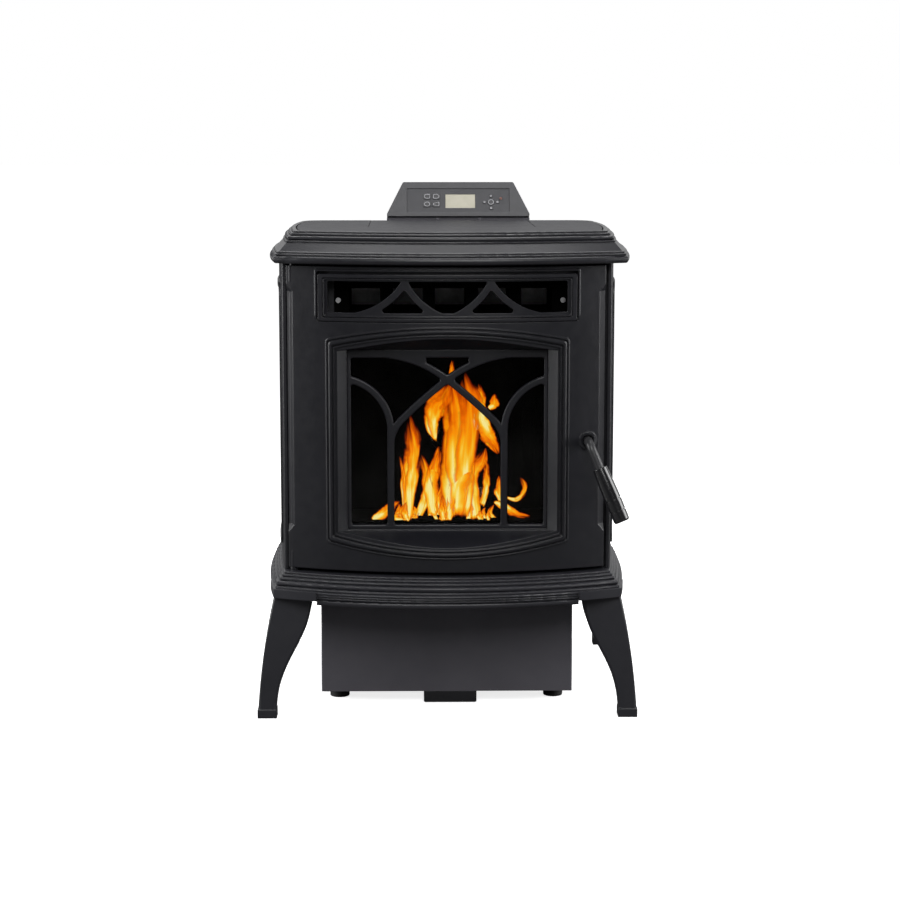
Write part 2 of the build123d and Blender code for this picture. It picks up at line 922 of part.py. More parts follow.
with BuildPart() as hopper:
    with BuildSketch(Plane.XY.offset(hopper_top_z - sheet)):
        elevation_box(
            hopper_centre_x - hopper_half_width,
            hopper_centre_x + hopper_half_width,
            hopper_front_y,
            hopper_rear_y,
        )
    with BuildSketch(Plane.XY.offset(auger_top_z)):
        elevation_box(-throat_half_width, throat_half_width, throat_front_y, throat_rear_y)
    loft(ruled=True)
    with BuildSketch(Plane.XY.offset(auger_top_z)):
        elevation_box(-throat_half_width, throat_half_width, throat_front_y, throat_rear_y)
    extrude(amount=auger_z - auger_top_z)
    with BuildSketch(Plane.XY.offset(hopper_top_z - sheet)):
        elevation_box(
            hopper_centre_x - hopper_half_width - hopper_flange,
            hopper_centre_x + hopper_half_width + hopper_flange,
            hopper_front_y - hopper_flange,
            hopper_rear_y + hopper_flange,
        )
    extrude(amount=sheet)
    with BuildSketch(Plane.XY.offset(hopper_top_z)):
        elevation_box(
            hopper_centre_x - hopper_half_width + sheet,
            hopper_centre_x + hopper_half_width - sheet,
            hopper_front_y + sheet,
            hopper_rear_y - sheet,
        )
    with BuildSketch(Plane.XY.offset(auger_top_z)):
        elevation_box(
            -throat_half_width + sheet,
            throat_half_width - sheet,
            throat_front_y + sheet,
            throat_rear_y - sheet,
        )
    loft(ruled=True, mode=Mode.SUBTRACT)
    with BuildSketch(Plane.XY.offset(auger_top_z)):
        elevation_box(
            -throat_half_width + sheet,
            throat_half_width - sheet,
            throat_front_y + sheet,
            throat_rear_y - sheet,
        )
    extrude(amount=auger_z - auger_top_z, mode=Mode.SUBTRACT)
    with BuildSketch(Plane.XZ.offset(-throat_front_y)):
        with Locations((0, auger_z)):
            Circle(auger_tube_radius + fit_gap)
    extrude(amount=2 * throat_length, both=True, mode=Mode.SUBTRACT)
save(hopper.part, "hopper")

gasket_reach = hopper_rim - 2 * fit_gap

with BuildPart() as hopper_gasket:
    with BuildSketch(Plane.XY.offset(hopper_top_z)):
        elevation_box(
            hopper_centre_x - hopper_half_width - gasket_reach,
            hopper_centre_x + hopper_half_width + gasket_reach,
            hopper_front_y - gasket_reach,
            hopper_rear_y + gasket_reach,
        )
        with Locations((hopper_centre_x, (hopper_front_y + hopper_rear_y) / 2)):
            Rectangle(
                2 * hopper_half_width, hopper_rear_y - hopper_front_y, mode=Mode.SUBTRACT
            )
    extrude(amount=top_plate_thickness - lid_thickness - fit_gap)
save(hopper_gasket.part, "hopper_gasket")

# ---------------------------------------------------------------- frames, firebox and pan

tube_centres = [
    exchanger_offset_x + (index - (exchanger_count - 1) / 2) * exchanger_pitch
    for index in range(exchanger_count)
]
frame_half_width = side_x(panel_inner_half_width, front_frame_y) - fit_gap
duct_clearance = 0.2
firebox_inner_half_width = firebox_half_width - plate_steel
pan_half_width = firebox_inner_half_width - ash_pan_side_gap
pan_low_z = base_top + plate_steel
cam_top_z = handle_z + latch_width / 2
latch_back_y = front_frame_y - latch_behind
latch_front_y = latch_back_y - latch_thickness
catch_x = handle_x - latch_length + catch_size / 3

with BuildPart() as front_frame:
    with BuildSketch(upright(firebox_front_y)):
        elevation_box(-frame_half_width, frame_half_width, base_top, body_top)
        with Locations((0, (firebox_door_low + firebox_door_high) / 2)):
            RectangleRounded(
                2 * firebox_door_half_width,
                firebox_door_high - firebox_door_low,
                2 * front_frame_thickness,
                mode=Mode.SUBTRACT,
            )
        with Locations((0, pan_low_z + pan_opening_height / 2)):
            Rectangle(2 * (pan_half_width + seat_gap), pan_opening_height, mode=Mode.SUBTRACT)
        with Locations((exchanger_offset_x, exchanger_z)):
            Rectangle(
                (exchanger_count - 1) * exchanger_pitch + exchanger_duct_width + 2 * seat_gap,
                exchanger_duct_height + 2 * seat_gap,
                mode=Mode.SUBTRACT,
            )
        with Locations(
            *[
                (exchanger_offset_x + hand * exchanger_screw_spacing / 2, exchanger_z)
                for hand in (-1, 1)
            ]
        ):
            Circle(screw_shank_radius + fit_gap, mode=Mode.SUBTRACT)
    extrude(amount=front_frame_thickness)
    with BuildSketch(upright(front_frame_y)):
        with Locations((catch_x, cam_top_z + catch_gap + latch_width / 2)):
            Rectangle(catch_size, latch_width)
    extrude(amount=front_frame_y - latch_front_y)
save(front_frame.part, "front_frame")

with BuildPart() as exchanger_plate:
    with BuildSketch(upright(front_frame_y)):
        with Locations((exchanger_offset_x, exchanger_z)):
            RectangleRounded(
                exchanger_screw_spacing + exchanger_plate_margin - 2 * front_frame_thickness,
                exchanger_duct_height + 2 * front_frame_thickness + catch_size / 2,
                3,
            )
        with Locations(*[(x, exchanger_z) for x in tube_centres]):
            Rectangle(
                exchanger_duct_width - 2 * sheet,
                exchanger_duct_height - 2 * sheet,
                mode=Mode.SUBTRACT,
            )
        with Locations(
            *[
                (exchanger_offset_x + hand * exchanger_screw_spacing / 2, exchanger_z)
                for hand in (-1, 1)
            ]
        ):
            Circle(screw_shank_radius + fit_gap, mode=Mode.SUBTRACT)
    extrude(amount=plate_steel)
save(exchanger_plate.part, "exchanger_plate")

tube_rear_y = firebox_rear_y + plate_steel

with BuildPart() as exchanger_tubes:
    with BuildSketch(upright(tube_rear_y)):
        with Locations(*[(x, exchanger_z) for x in tube_centres]):
            Rectangle(exchanger_duct_width, exchanger_duct_height)
            Rectangle(
                exchanger_duct_width - 2 * sheet,
                exchanger_duct_height - 2 * sheet,
                mode=Mode.SUBTRACT,
            )
    extrude(amount=tube_rear_y - front_frame_y)
save(exchanger_tubes.part, "exchanger_tubes")

with BuildPart() as fixings:
    with Locations(*[(x, y, leg_height) for x, y in stud_places]):
        Cylinder(stud_radius, stud_length)
    for hand in (-1, 1):
        screw_x = exchanger_offset_x + hand * exchanger_screw_spacing / 2
        with BuildSketch(upright(firebox_front_y)):
            with Locations((screw_x, exchanger_z)):
                Circle(screw_shank_radius)
        extrude(amount=front_frame_thickness + plate_steel)
        with BuildSketch(upright(front_frame_y - plate_steel)):
            with Locations((screw_x, exchanger_z)):
                Circle(screw_head_radius)
        extrude(amount=screw_head_height)
save(fixings.part, "fixings")

pot_y = firebox_rear_y - pot_from_rear
pot_bottom_z = firebox_floor_z + firebox_floor_thickness - pot_height
igniter_z = pot_bottom_z + igniter_above_pot
inlet_box_right = exhaust_x - exhaust_width / 2
inlet_box_left = inlet_box_right - exhaust_inlet_width
smoke_port_low = firebox_floor_z + firebox_floor_thickness + plate_steel
smoke_port_high = blower_z + exhaust_inlet_height / 2 - sheet
floor_top = firebox_floor_z + firebox_floor_thickness
firebox_top = base_top + firebox_height
liner_back_y = firebox_rear_y - plate_steel


def smoke_port():
    """The opening from the fire to the exhaust blower, drawn into an upright sketch."""
    elevation_box(
        inlet_box_left + sheet, inlet_box_right - sheet, smoke_port_low, smoke_port_high
    )


with BuildPart() as firebox:
    with BuildSketch(upright(firebox_rear_y)):
        elevation_box(-firebox_half_width, firebox_half_width, base_top, firebox_top)
    extrude(amount=firebox_depth)
    with BuildSketch(upright(liner_back_y)):
        elevation_box(
            -firebox_inner_half_width,
            firebox_inner_half_width,
            base_top + plate_steel,
            firebox_top - plate_steel,
        )
    extrude(amount=firebox_depth, mode=Mode.SUBTRACT)
    with BuildSketch(upright(firebox_rear_y)):
        with Locations((0, auger_z)):
            Circle(auger_tube_radius + fit_gap)
        with Locations(*[(x, exchanger_z) for x in tube_centres]):
            Rectangle(
                exchanger_duct_width + 2 * duct_clearance,
                exchanger_duct_height + 2 * duct_clearance,
            )
        with Locations((intake_x, intake_z)):
            Circle(intake_radius - sheet)
        with Locations((igniter_offset_x, igniter_z)):
            Circle(igniter_radius + fit_gap)
        smoke_port()
    extrude(amount=plate_steel, mode=Mode.SUBTRACT)
    for hand in (-1, 1):
        with Locations(
            (
                hand * (firebox_inner_half_width - plate_steel),
                (firebox_front_y + liner_back_y) / 2,
                firebox_floor_z - plate_steel,
            )
        ):
            Box(2 * plate_steel, liner_back_y - firebox_front_y, 2 * plate_steel)
save(firebox.part, "firebox")

with BuildPart() as firebox_floor:
    with BuildSketch(Plane.XY.offset(firebox_floor_z)):
        elevation_box(
            -firebox_inner_half_width + seat_gap,
            firebox_inner_half_width - seat_gap,
            firebox_front_y + seat_gap,
            liner_back_y - seat_gap,
        )
        with Locations((0, pot_y)):
            Rectangle(pot_width + 2 * seat_gap, pot_depth + 2 * seat_gap, mode=Mode.SUBTRACT)
    extrude(amount=firebox_floor_thickness)
save(firebox_floor.part, "firebox_floor")

liner_front_y = liner_back_y - liner_thickness
flute_count = int(2 * (firebox_inner_half_width - liner_thickness) / liner_flute_pitch) - 1

with BuildPart() as firebox_liner:
    with BuildSketch(Plane.XY.offset(floor_top)):
        elevation_box(
            -firebox_inner_half_width + seat_gap,
            firebox_inner_half_width - seat_gap,
            firebox_front_y + front_frame_thickness,
            liner_back_y,
        )
        elevation_box_front = firebox_front_y - beyond
        with Locations((0, (elevation_box_front + liner_front_y) / 2)):
            Rectangle(
                2 * (firebox_inner_half_width - seat_gap - liner_thickness),
                liner_front_y - elevation_box_front,
                mode=Mode.SUBTRACT,
            )
        with Locations(
            *[
                ((index - (flute_count - 1) / 2) * liner_flute_pitch, liner_front_y)
                for index in range(flute_count)
            ]
        ):
            Rectangle(liner_flute_pitch / 2, 2 * liner_flute_depth, mode=Mode.SUBTRACT)
    extrude(amount=liner_height)
    with BuildSketch(upright(liner_back_y)):
        with Locations((0, auger_z)):
            Circle(auger_tube_radius + fit_gap)
        smoke_port()
    extrude(amount=2 * liner_thickness, mode=Mode.SUBTRACT)
save(firebox_liner.part, "firebox_liner")

pot_hole_columns = 5
pot_hole_rows = 3

with BuildPart() as burn_pot:
    with BuildSketch(Plane.XY.offset(pot_bottom_z)):
        with Locations((0, pot_y)):
            Rectangle(pot_width, pot_depth)
    extrude(amount=pot_height)
    with BuildSketch(Plane.XY.offset(floor_top)):
        with Locations((0, pot_y)):
            RectangleRounded(pot_width + 2 * pot_flange, pot_depth + 2 * pot_flange, pot_flange)
    extrude(amount=pot_wall)
    with BuildSketch(Plane.XY.offset(pot_bottom_z + pot_wall)):
        with Locations((0, pot_y)):
            Rectangle(pot_width - 2 * pot_wall, pot_depth - 2 * pot_wall)
    extrude(amount=pot_height, mode=Mode.SUBTRACT)
    with BuildSketch(Plane.XY.offset(pot_bottom_z)):
        with Locations((0, pot_y)):
            with GridLocations(
                (pot_width - 2 * pot_wall) / pot_hole_columns,
                (pot_depth - 2 * pot_wall) / pot_hole_rows,
                pot_hole_columns,
                pot_hole_rows,
            ):
                Circle(pot_hole_radius)
    extrude(amount=pot_wall, mode=Mode.SUBTRACT)
    with BuildSketch(upright(pot_y + pot_depth / 2)):
        with Locations((igniter_offset_x, igniter_z)):
            Circle(igniter_radius + fit_gap)
    extrude(amount=pot_wall, mode=Mode.SUBTRACT)
save(burn_pot.part, "burn_pot")

igniter_front_y = pot_y + pot_depth / 2 - pot_wall

with BuildPart() as igniter:
    with BuildSketch(upright(firebox_rear_y + igniter_tail)):
        with Locations((igniter_offset_x, igniter_z)):
            Circle(igniter_radius)
    extrude(amount=firebox_rear_y + igniter_tail - igniter_front_y)
    with BuildSketch(upright(firebox_rear_y + igniter_collar)):
        with Locations((igniter_offset_x, igniter_z)):
            Circle(igniter_radius + sheet)
    extrude(amount=igniter_collar)
save(igniter.part, "igniter")

pan_front_y = firebox_front_y + front_frame_thickness
pan_rear_y = liner_back_y - ash_pan_side_gap / 2

with BuildPart() as ash_pan:
    with BuildSketch(Plane.XY.offset(pan_low_z)):
        elevation_box(-pan_half_width, pan_half_width, pan_front_y, pan_rear_y)
    extrude(amount=ash_pan_height)
    with BuildSketch(Plane.XY.offset(pan_low_z + sheet)):
        elevation_box(
            -pan_half_width + sheet,
            pan_half_width - sheet,
            pan_front_y + sheet,
            pan_rear_y - sheet,
        )
    extrude(amount=ash_pan_height, mode=Mode.SUBTRACT)
    with BuildSketch(Plane.XY.offset(pan_low_z + ash_pan_height - sheet)):
        elevation_box(
            -ash_pan_grip / 2, ash_pan_grip / 2, pan_front_y - pan_grip_reach, pan_front_y
        )
    extrude(amount=sheet)
save(ash_pan.part, "ash_pan")

# ---------------------------------------------------------------- auger and its drive

tube_front_y = liner_front_y - auger_chute_reach
flight_radius = auger_tube_radius - auger_tube_wall - auger_flight_gap
end_plate = 2 * auger_tube_wall
flight_front_y = liner_front_y
flight_length = auger_tube_rear_y - end_plate - 4 * fit_gap - flight_front_y

with BuildPart() as auger_tube:
    with BuildSketch(upright(auger_tube_rear_y)):
        with Locations((0, auger_z)):
            Circle(auger_tube_radius)
    extrude(amount=auger_tube_rear_y - tube_front_y)
    with BuildSketch(upright(auger_tube_rear_y - end_plate)):
        with Locations((0, auger_z)):
            Circle(auger_tube_radius - auger_tube_wall)
    extrude(amount=auger_tube_rear_y - tube_front_y, mode=Mode.SUBTRACT)
    with BuildSketch(upright(auger_tube_rear_y)):
        with Locations((0, auger_z)):
            Circle(auger_shaft_radius + running_gap)
    extrude(amount=end_plate, mode=Mode.SUBTRACT)
    with BuildSketch(Plane.XY.offset(auger_z)):
        elevation_box(
            -throat_half_width + 2 * sheet,
            throat_half_width - 2 * sheet,
            throat_front_y + 2 * sheet,
            throat_rear_y - 2 * sheet,
        )
    extrude(amount=2 * auger_tube_radius, mode=Mode.SUBTRACT)
    with BuildSketch(Plane.YZ):
        with BuildLine():
            Polyline(
                (tube_front_y - auger_tube_radius, auger_z + auger_tube_radius),
                (tube_front_y + chute_cut, auger_z + auger_tube_radius),
                (tube_front_y, auger_z - auger_tube_radius),
                (tube_front_y - auger_tube_radius, auger_z - auger_tube_radius),
                close=True,
            )
        make_face()
    extrude(amount=2 * auger_tube_radius, both=True, mode=Mode.SUBTRACT)
save(auger_tube.part, "auger_tube")

with BuildPart() as auger:
    with BuildSketch(upright(auger_tube_rear_y + gearbox_depth - 2 * end_plate / 3)):
        with Locations((0, auger_z)):
            Circle(auger_shaft_radius)
    extrude(amount=auger_tube_rear_y + gearbox_depth - 2 * end_plate / 3 - flight_front_y + sheet)
    with BuildLine() as flight_path:
        Helix(
            pitch=auger_pitch,
            height=flight_length,
            radius=(auger_shaft_radius + flight_radius) / 2,
            center=(0, flight_front_y, auger_z),
            direction=(0, 1, 0),
        )
    flight_start = flight_path.line @ 0
    flight_out = Vector(flight_start.X, 0, flight_start.Z - auger_z)
    with BuildSketch(
        Plane(origin=flight_start, x_dir=flight_out, z_dir=flight_path.line % 0)
    ):
        Rectangle(flight_radius - auger_shaft_radius + 2 * sheet, auger_flight_thickness)
    sweep(path=flight_path.line, is_frenet=True)
    with BuildSketch(upright(auger_tube_rear_y)):
        with Locations((0, auger_z)):
            Circle(2 * auger_tube_radius)
            Circle(flight_radius, mode=Mode.SUBTRACT)
    extrude(amount=2 * auger_tube_rear_y, mode=Mode.SUBTRACT)
save(auger.part, "auger")

gearbox_rear_y = auger_tube_rear_y + gearbox_depth

with BuildPart() as auger_motor:
    with BuildSketch(upright(gearbox_rear_y)):
        with Locations((0, auger_z)):
            RectangleRounded(gearbox_size, gearbox_size, gearbox_corner)
    extrude(amount=gearbox_depth)
    with BuildSketch(upright(gearbox_rear_y + auger_motor_length)):
        with Locations((0, auger_z)):
            Circle(auger_motor_radius)
    extrude(amount=auger_motor_length)
    with BuildSketch(upright(gearbox_rear_y - end_plate / 3)):
        with Locations((0, auger_z)):
            Circle(auger_shaft_radius + running_gap)
    extrude(amount=gearbox_depth, mode=Mode.SUBTRACT)
save(auger_motor.part, "auger_motor")

# ---------------------------------------------------------------- blowers

outlet_low = blower_z - blower_radius
outlet_z = outlet_low + exhaust_outlet_height / 2
exhaust_left = exhaust_x - exhaust_width / 2
exhaust_right = exhaust_x + exhaust_width / 2
outlet_rear_y = panel_rear_y - seat_gap
inlet_box_rear_y = blower_y + exhaust_inlet_width


def drum(x, radius, width):
    """A solid drum along X about the blower axis, from x towards +X."""
    with BuildPart() as solid:
        with BuildSketch(Plane.YZ.offset(x)):
            with Locations((blower_y, blower_z)):
                Circle(radius)
        extrude(amount=width)
    return solid.part


def block(left, right, front, rear, low, high):
    """A solid box from its six sides."""
    with BuildPart() as solid:
        with Locations(((left + right) / 2, (front + rear) / 2, (low + high) / 2)):
            Box(right - left, rear - front, high - low)
    return solid.part


with BuildPart() as exhaust_housing:
    add(drum(exhaust_left, blower_radius, exhaust_width))
    add(
        block(
            exhaust_left,
            exhaust_right,
            blower_y,
            outlet_rear_y,
            outlet_low,
            outlet_low + exhaust_outlet_height,
        )
    )
    add(
        block(
            inlet_box_left,
            inlet_box_right + sheet,
            firebox_rear_y,
            inlet_box_rear_y,
            blower_z - exhaust_inlet_height / 2,
            blower_z + exhaust_inlet_height / 2,
        )
    )
    add(
        drum(exhaust_left + sheet, blower_radius - sheet, exhaust_width - 2 * sheet),
        mode=Mode.SUBTRACT,
    )
    add(
        block(
            exhaust_left + sheet,
            exhaust_right - sheet,
            blower_y,
            outlet_rear_y,
            outlet_low + sheet,
            outlet_low + exhaust_outlet_height - sheet,
        ),
        mode=Mode.SUBTRACT,
    )
    add(
        block(
            inlet_box_left + sheet,
            inlet_box_right,
            firebox_rear_y,
            inlet_box_rear_y - sheet,
            blower_z - exhaust_inlet_height / 2 + sheet,
            blower_z + exhaust_inlet_height / 2 - sheet,
        ),
        mode=Mode.SUBTRACT,
    )
    add(
        drum(exhaust_left - sheet, exhaust_inlet_height / 2 - 2 * sheet, 3 * sheet),
        mode=Mode.SUBTRACT,
    )
    add(
        drum(exhaust_right - 2 * sheet, fan_shaft_radius + fit_gap, 3 * sheet),
        mode=Mode.SUBTRACT,
    )
save(exhaust_housing.part, "exhaust_housing")

impeller_left = exhaust_x - impeller_width / 2
motor_bore = fan_motor_length / 2
impeller_shaft = exhaust_right + motor_bore - fit_gap - impeller_left

with BuildPart() as exhaust_impeller:
    add(drum(impeller_left, fan_hub_radius, impeller_width))
    add(drum(impeller_left + impeller_width - fan_sheet, impeller_radius, fan_sheet))
    add(drum(impeller_left, fan_shaft_radius, impeller_shaft))
    with BuildSketch(Plane.YZ.offset(impeller_left)):
        with Locations((blower_y, blower_z)):
            with PolarLocations((impeller_radius + fan_shaft_radius) / 2, impeller_blades):
                Rectangle(impeller_radius - fan_shaft_radius, fan_sheet)
    extrude(amount=impeller_width)
save(exhaust_impeller.part, "exhaust_impeller")

with BuildPart() as exhaust_motor:
    add(drum(exhaust_right, fan_motor_radius, fan_motor_length))
    fillet(exhaust_motor.edges().group_by(Axis.X)[-1], fan_shaft_radius)
    add(
        drum(exhaust_right, fan_shaft_radius + running_gap, motor_bore),
        mode=Mode.SUBTRACT,
    )
save(exhaust_motor.part, "exhaust_motor")

with BuildPart() as flue_collar:
    collar_front_y = outlet_rear_y - flue_wall * 5
    with BuildSketch(upright(flue_reach)):
        with Locations((exhaust_x, outlet_z)):
            Circle(flue_radius)
            Circle(flue_radius - flue_wall, mode=Mode.SUBTRACT)
    extrude(amount=flue_reach - collar_front_y)
    with BuildSketch(upright(body_rear_y + flue_wall)):
        with Locations((exhaust_x, outlet_z)):
            Circle(flue_radius + flue_flange)
            Circle(flue_radius - flue_wall, mode=Mode.SUBTRACT)
    extrude(amount=flue_wall)
save(flue_collar.part, "flue_collar")

convection_left = convection_x - convection_width / 2
convection_right = convection_x + convection_width / 2
riser_front_y = blower_y - blower_radius
riser_rear_y = riser_front_y + duct_height - 2 * plate_steel
duct_top = plenum_low_z + duct_height
plenum_front_y = tube_rear_y
plenum_rear_y = plenum_front_y + plenum_depth
duct_boxes = [
    (convection_left, convection_right, riser_front_y, riser_rear_y, blower_z, duct_top),
    (convection_left, convection_right, plenum_front_y, riser_rear_y, plenum_low_z, duct_top),
    (
        -plenum_half_width,
        plenum_half_width,
        plenum_front_y,
        plenum_rear_y,
        plenum_low_z,
        plenum_high_z,
    ),
]

with BuildPart() as convection_housing:
    add(drum(convection_left, blower_radius, convection_width))
    for box in duct_boxes:
        add(block(*box))
    add(
        drum(convection_left + sheet, blower_radius - sheet, convection_width - 2 * sheet),
        mode=Mode.SUBTRACT,
    )
    for left, right, front, rear, low, high in duct_boxes:
        inner_low = low if low == blower_z else low + sheet
        add(
            block(
                left + sheet, right - sheet, front + sheet, rear - sheet, inner_low, high - sheet
            ),
            mode=Mode.SUBTRACT,
        )
    add(
        drum(convection_right - 2 * sheet, convection_inlet_radius, 3 * sheet),
        mode=Mode.SUBTRACT,
    )
    add(
        drum(convection_left - sheet, fan_shaft_radius + fit_gap, 3 * sheet),
        mode=Mode.SUBTRACT,
    )
    with BuildSketch(upright(plenum_front_y + sheet)):
        with Locations(*[(x, exchanger_z) for x in tube_centres]):
            Rectangle(exchanger_duct_width - 2 * sheet, exchanger_duct_height - 2 * sheet)
    extrude(amount=sheet, mode=Mode.SUBTRACT)
    with BuildSketch(upright(plenum_rear_y)):
        with Locations((0, auger_z)):
            Circle(auger_tube_radius + fit_gap)
    extrude(amount=plenum_depth, mode=Mode.SUBTRACT)
save(convection_housing.part, "convection_housing")

wheel_left = convection_x - wheel_width / 2
wheel_shaft_left = convection_left - motor_bore + fit_gap
blade_radius = wheel_radius - wheel_blade_depth / 2

with BuildPart() as convection_wheel:
    add(drum(wheel_left, wheel_radius, fan_sheet))
    add(drum(wheel_left, fan_hub_radius, 3 * fan_hub_radius))
    add(drum(wheel_shaft_left, fan_shaft_radius, wheel_left - wheel_shaft_left + fan_hub_radius))
    with BuildSketch(Plane.YZ.offset(wheel_left + wheel_width - 2 * fan_sheet)):
        with Locations((blower_y, blower_z)):
            Circle(wheel_radius)
            Circle(wheel_radius - wheel_blade_depth, mode=Mode.SUBTRACT)
    extrude(amount=2 * fan_sheet)
    with BuildSketch(Plane.YZ.offset(wheel_left)):
        with Locations((blower_y, blower_z)):
            with PolarLocations(blade_radius, wheel_blades):
                Rectangle(wheel_blade_depth - fan_sheet, fan_sheet)
    extrude(amount=wheel_width)
save(convection_wheel.part, "convection_wheel")

with BuildPart() as convection_motor:
    add(drum(convection_left - fan_motor_length, fan_motor_radius, fan_motor_length))
    fillet(convection_motor.edges().group_by(Axis.X)[0], fan_shaft_radius)
    add(
        drum(convection_left - motor_bore, fan_shaft_radius + running_gap, motor_bore),
        mode=Mode.SUBTRACT,
    )
save(convection_motor.part, "convection_motor")

# ---------------------------------------------------------------- rear of the stove

with BuildPart() as air_intake:
    with BuildSketch(upright(body_rear_y + intake_reach)):
        with Locations((intake_x, intake_z)):
            Circle(intake_radius)
            Circle(intake_radius - sheet, mode=Mode.SUBTRACT)
    extrude(amount=body_rear_y + intake_reach - firebox_rear_y)
    with BuildSketch(upright(body_rear_y + sheet)):
        with Locations((intake_x, intake_z)):
            Circle(intake_radius + 4 * sheet)
            Circle(intake_radius - sheet, mode=Mode.SUBTRACT)
    extrude(amount=sheet)
save(air_intake.part, "air_intake")

pin_pitch = inlet_width / 4

with BuildPart() as power_inlet:
    with BuildSketch(upright(body_rear_y)):
        with Locations((inlet_x, inlet_z)):
            RectangleRounded(inlet_width, inlet_height, plate_steel)
    extrude(amount=inlet_depth)
    with BuildSketch(upright(body_rear_y + 2 * sheet)):
        with Locations((inlet_x, inlet_z)):
            RectangleRounded(
                inlet_width + 4 * sheet, inlet_height + 4 * sheet, plate_steel + 2 * sheet
            )
    extrude(amount=2 * sheet)
    with BuildSketch(upright(body_rear_y + 2 * sheet)):
        with Locations((inlet_x, inlet_z)):
            RectangleRounded(
                inlet_width - 2 * sheet, inlet_height - 2 * sheet, plate_steel - sheet
            )
    extrude(amount=inlet_depth - sheet, mode=Mode.SUBTRACT)
    with BuildSketch(upright(body_rear_y - sheet)):
        with Locations(
            (inlet_x - pin_pitch, inlet_z - sheet),
            (inlet_x + pin_pitch, inlet_z - sheet),
            (inlet_x, inlet_z + 2 * sheet),
        ):
            Rectangle(sheet, plate_steel)
    extrude(amount=inlet_depth - 2 * sheet)
save(power_inlet.part, "power_inlet")

rear_half_width = side_x(panel_inner_half_width, body_rear_y) - fit_gap

with BuildPart() as rear_panel:
    with BuildSketch(upright(body_rear_y)):
        elevation_box(-rear_half_width, rear_half_width, base_top, body_top)
        with Locations((exhaust_x, outlet_z)):
            Circle(flue_radius + seat_gap, mode=Mode.SUBTRACT)
        with Locations((intake_x, intake_z)):
            Circle(intake_radius + seat_gap, mode=Mode.SUBTRACT)
        with Locations((inlet_x, inlet_z)):
            RectangleRounded(
                inlet_width + 2 * seat_gap,
                inlet_height + 2 * seat_gap,
                plate_steel + seat_gap,
                mode=Mode.SUBTRACT,
            )
        with Locations((convection_x, blower_z)):
            with GridLocations(0, louvre_pitch, 1, louvre_count):
                SlotOverall(louvre_length, louvre_height, mode=Mode.SUBTRACT)
    extrude(amount=rear_panel_thickness)
save(rear_panel.part, "rear_panel")

# ---------------------------------------------------------------- front door

door_inner_reach = door_reach - door_skin
grille_pocket_half_width = grille_half_width + grille_side_gap
grille_pocket_low = grille_low - grille_foot_gap
grille_pocket_high = grille_high + grille_head_gap
tracery_front_y = -door_reach + pocket_floor_setback
tracery_back_y = tracery_front_y + tracery_thickness
flange_back_y = tracery_back_y + tracery_flange_thickness
glass_front_y = flange_back_y + gasket_thickness
glass_back_y = glass_front_y + glass_thickness
block_back_y = door_back_y - catch_gap * 3
tracery_half_width = window_half_width + tracery_side_rail
tracery_low = window_low - tracery_bottom_rail
tracery_high = window_high + tracery_top_rail
cavity_half_width = tracery_half_width + tracery_flange + cavity_margin
cavity_low = tracery_low - tracery_flange - cavity_margin
cavity_high = tracery_high + tracery_flange + cavity_margin
rope_half_width = window_block_half_width - rope_inset
rope_low = window_block_low + rope_inset
rope_high = window_block_high - rope_inset
boss_front_y = front_y(door_reach, handle_x) - handle_boss_proud
clip_screws = [
    (hand * clip_spacing / 2, z)
    for hand in (-1, 1)
    for z in (cavity_low - clip_seat / 2, cavity_high + clip_seat / 2)
]


def behind_front(reach, back_y, left, right, low, high):
    """The solid between a front arc and a plane at back_y, inside an elevation box."""
    with BuildPart() as solid:
        with BuildSketch(Plane.XY.offset(low)):
            with Locations((0, bow_centre_y)):
                Circle(bow_centre_y + reach)
            with Locations(((left + right) / 2, back_y - overall_depth / 2)):
                Rectangle(right - left, overall_depth, mode=Mode.INTERSECT)
            with Locations((0, back_y - overall_depth / 2)):
                Rectangle(2 * beyond, overall_depth, mode=Mode.INTERSECT)
        extrude(amount=high - low)
    return solid.part


def true_corners(outline, shortest):
    """Corners of a sketch's holes where two edges, both this long, meet at an angle."""
    corners = []
    for hole in [hole for face in outline.faces() for hole in face.inner_wires()]:
        ends = [(edge, end, edge @ end) for edge in hole.edges() for end in (0, 1)]
        for vertex in hole.vertices():
            place = vertex.center()
            meeting = [(edge, end) for edge, end, tip in ends if (tip - place).length < fit_gap]
            directions = [edge % end for edge, end in meeting]
            if (
                directions[0].cross(directions[1]).length > 0.15
                and min(edge.length for edge, _ in meeting) > shortest
            ):
                corners.append(vertex)
    return corners


def arch_outline(half_width, corner_low, corner_high, rise_low, rise_high):
    """Window surround: upright sides and bowed head and sill, as a line for make_face."""
    with BuildLine() as outline:
        Line((half_width, corner_low), (half_width, corner_high))
        ThreePointArc(
            (half_width, corner_high), (0, corner_high + rise_high), (-half_width, corner_high)
        )
        Line((-half_width, corner_high), (-half_width, corner_low))
        ThreePointArc(
            (-half_width, corner_low), (0, corner_low - rise_low), (half_width, corner_low)
        )
    return outline.edges()


def moulding_region(trim):
    """Everything inside the window moulding's outer edge less a trim, corners rounded."""
    with BuildSketch() as region:
        make_face(
            arch_outline(
                moulding_half_width - trim,
                moulding_corner_low + trim,
                moulding_corner_high - trim,
                moulding_sill_rise,
                moulding_head_rise,
            )
        )
        fillet(region.vertices(), moulding_corner_round - trim / 4)
    return region.sketch


def moulding_ring(inset, width, proud):
    """One bead of the window moulding on the bowed face of the door."""
    with BuildPart() as ring:
        with BuildSketch(upright(front_frame_y)):
            add(moulding_region(inset))
            add(moulding_region(inset + width), mode=Mode.SUBTRACT)
        extrude(amount=overall_depth / 2)
        add(
            bowed_shell(door_reach + proud, door_inner_reach, door_bottom, door_top),
            mode=Mode.INTERSECT,
        )
    return ring.part


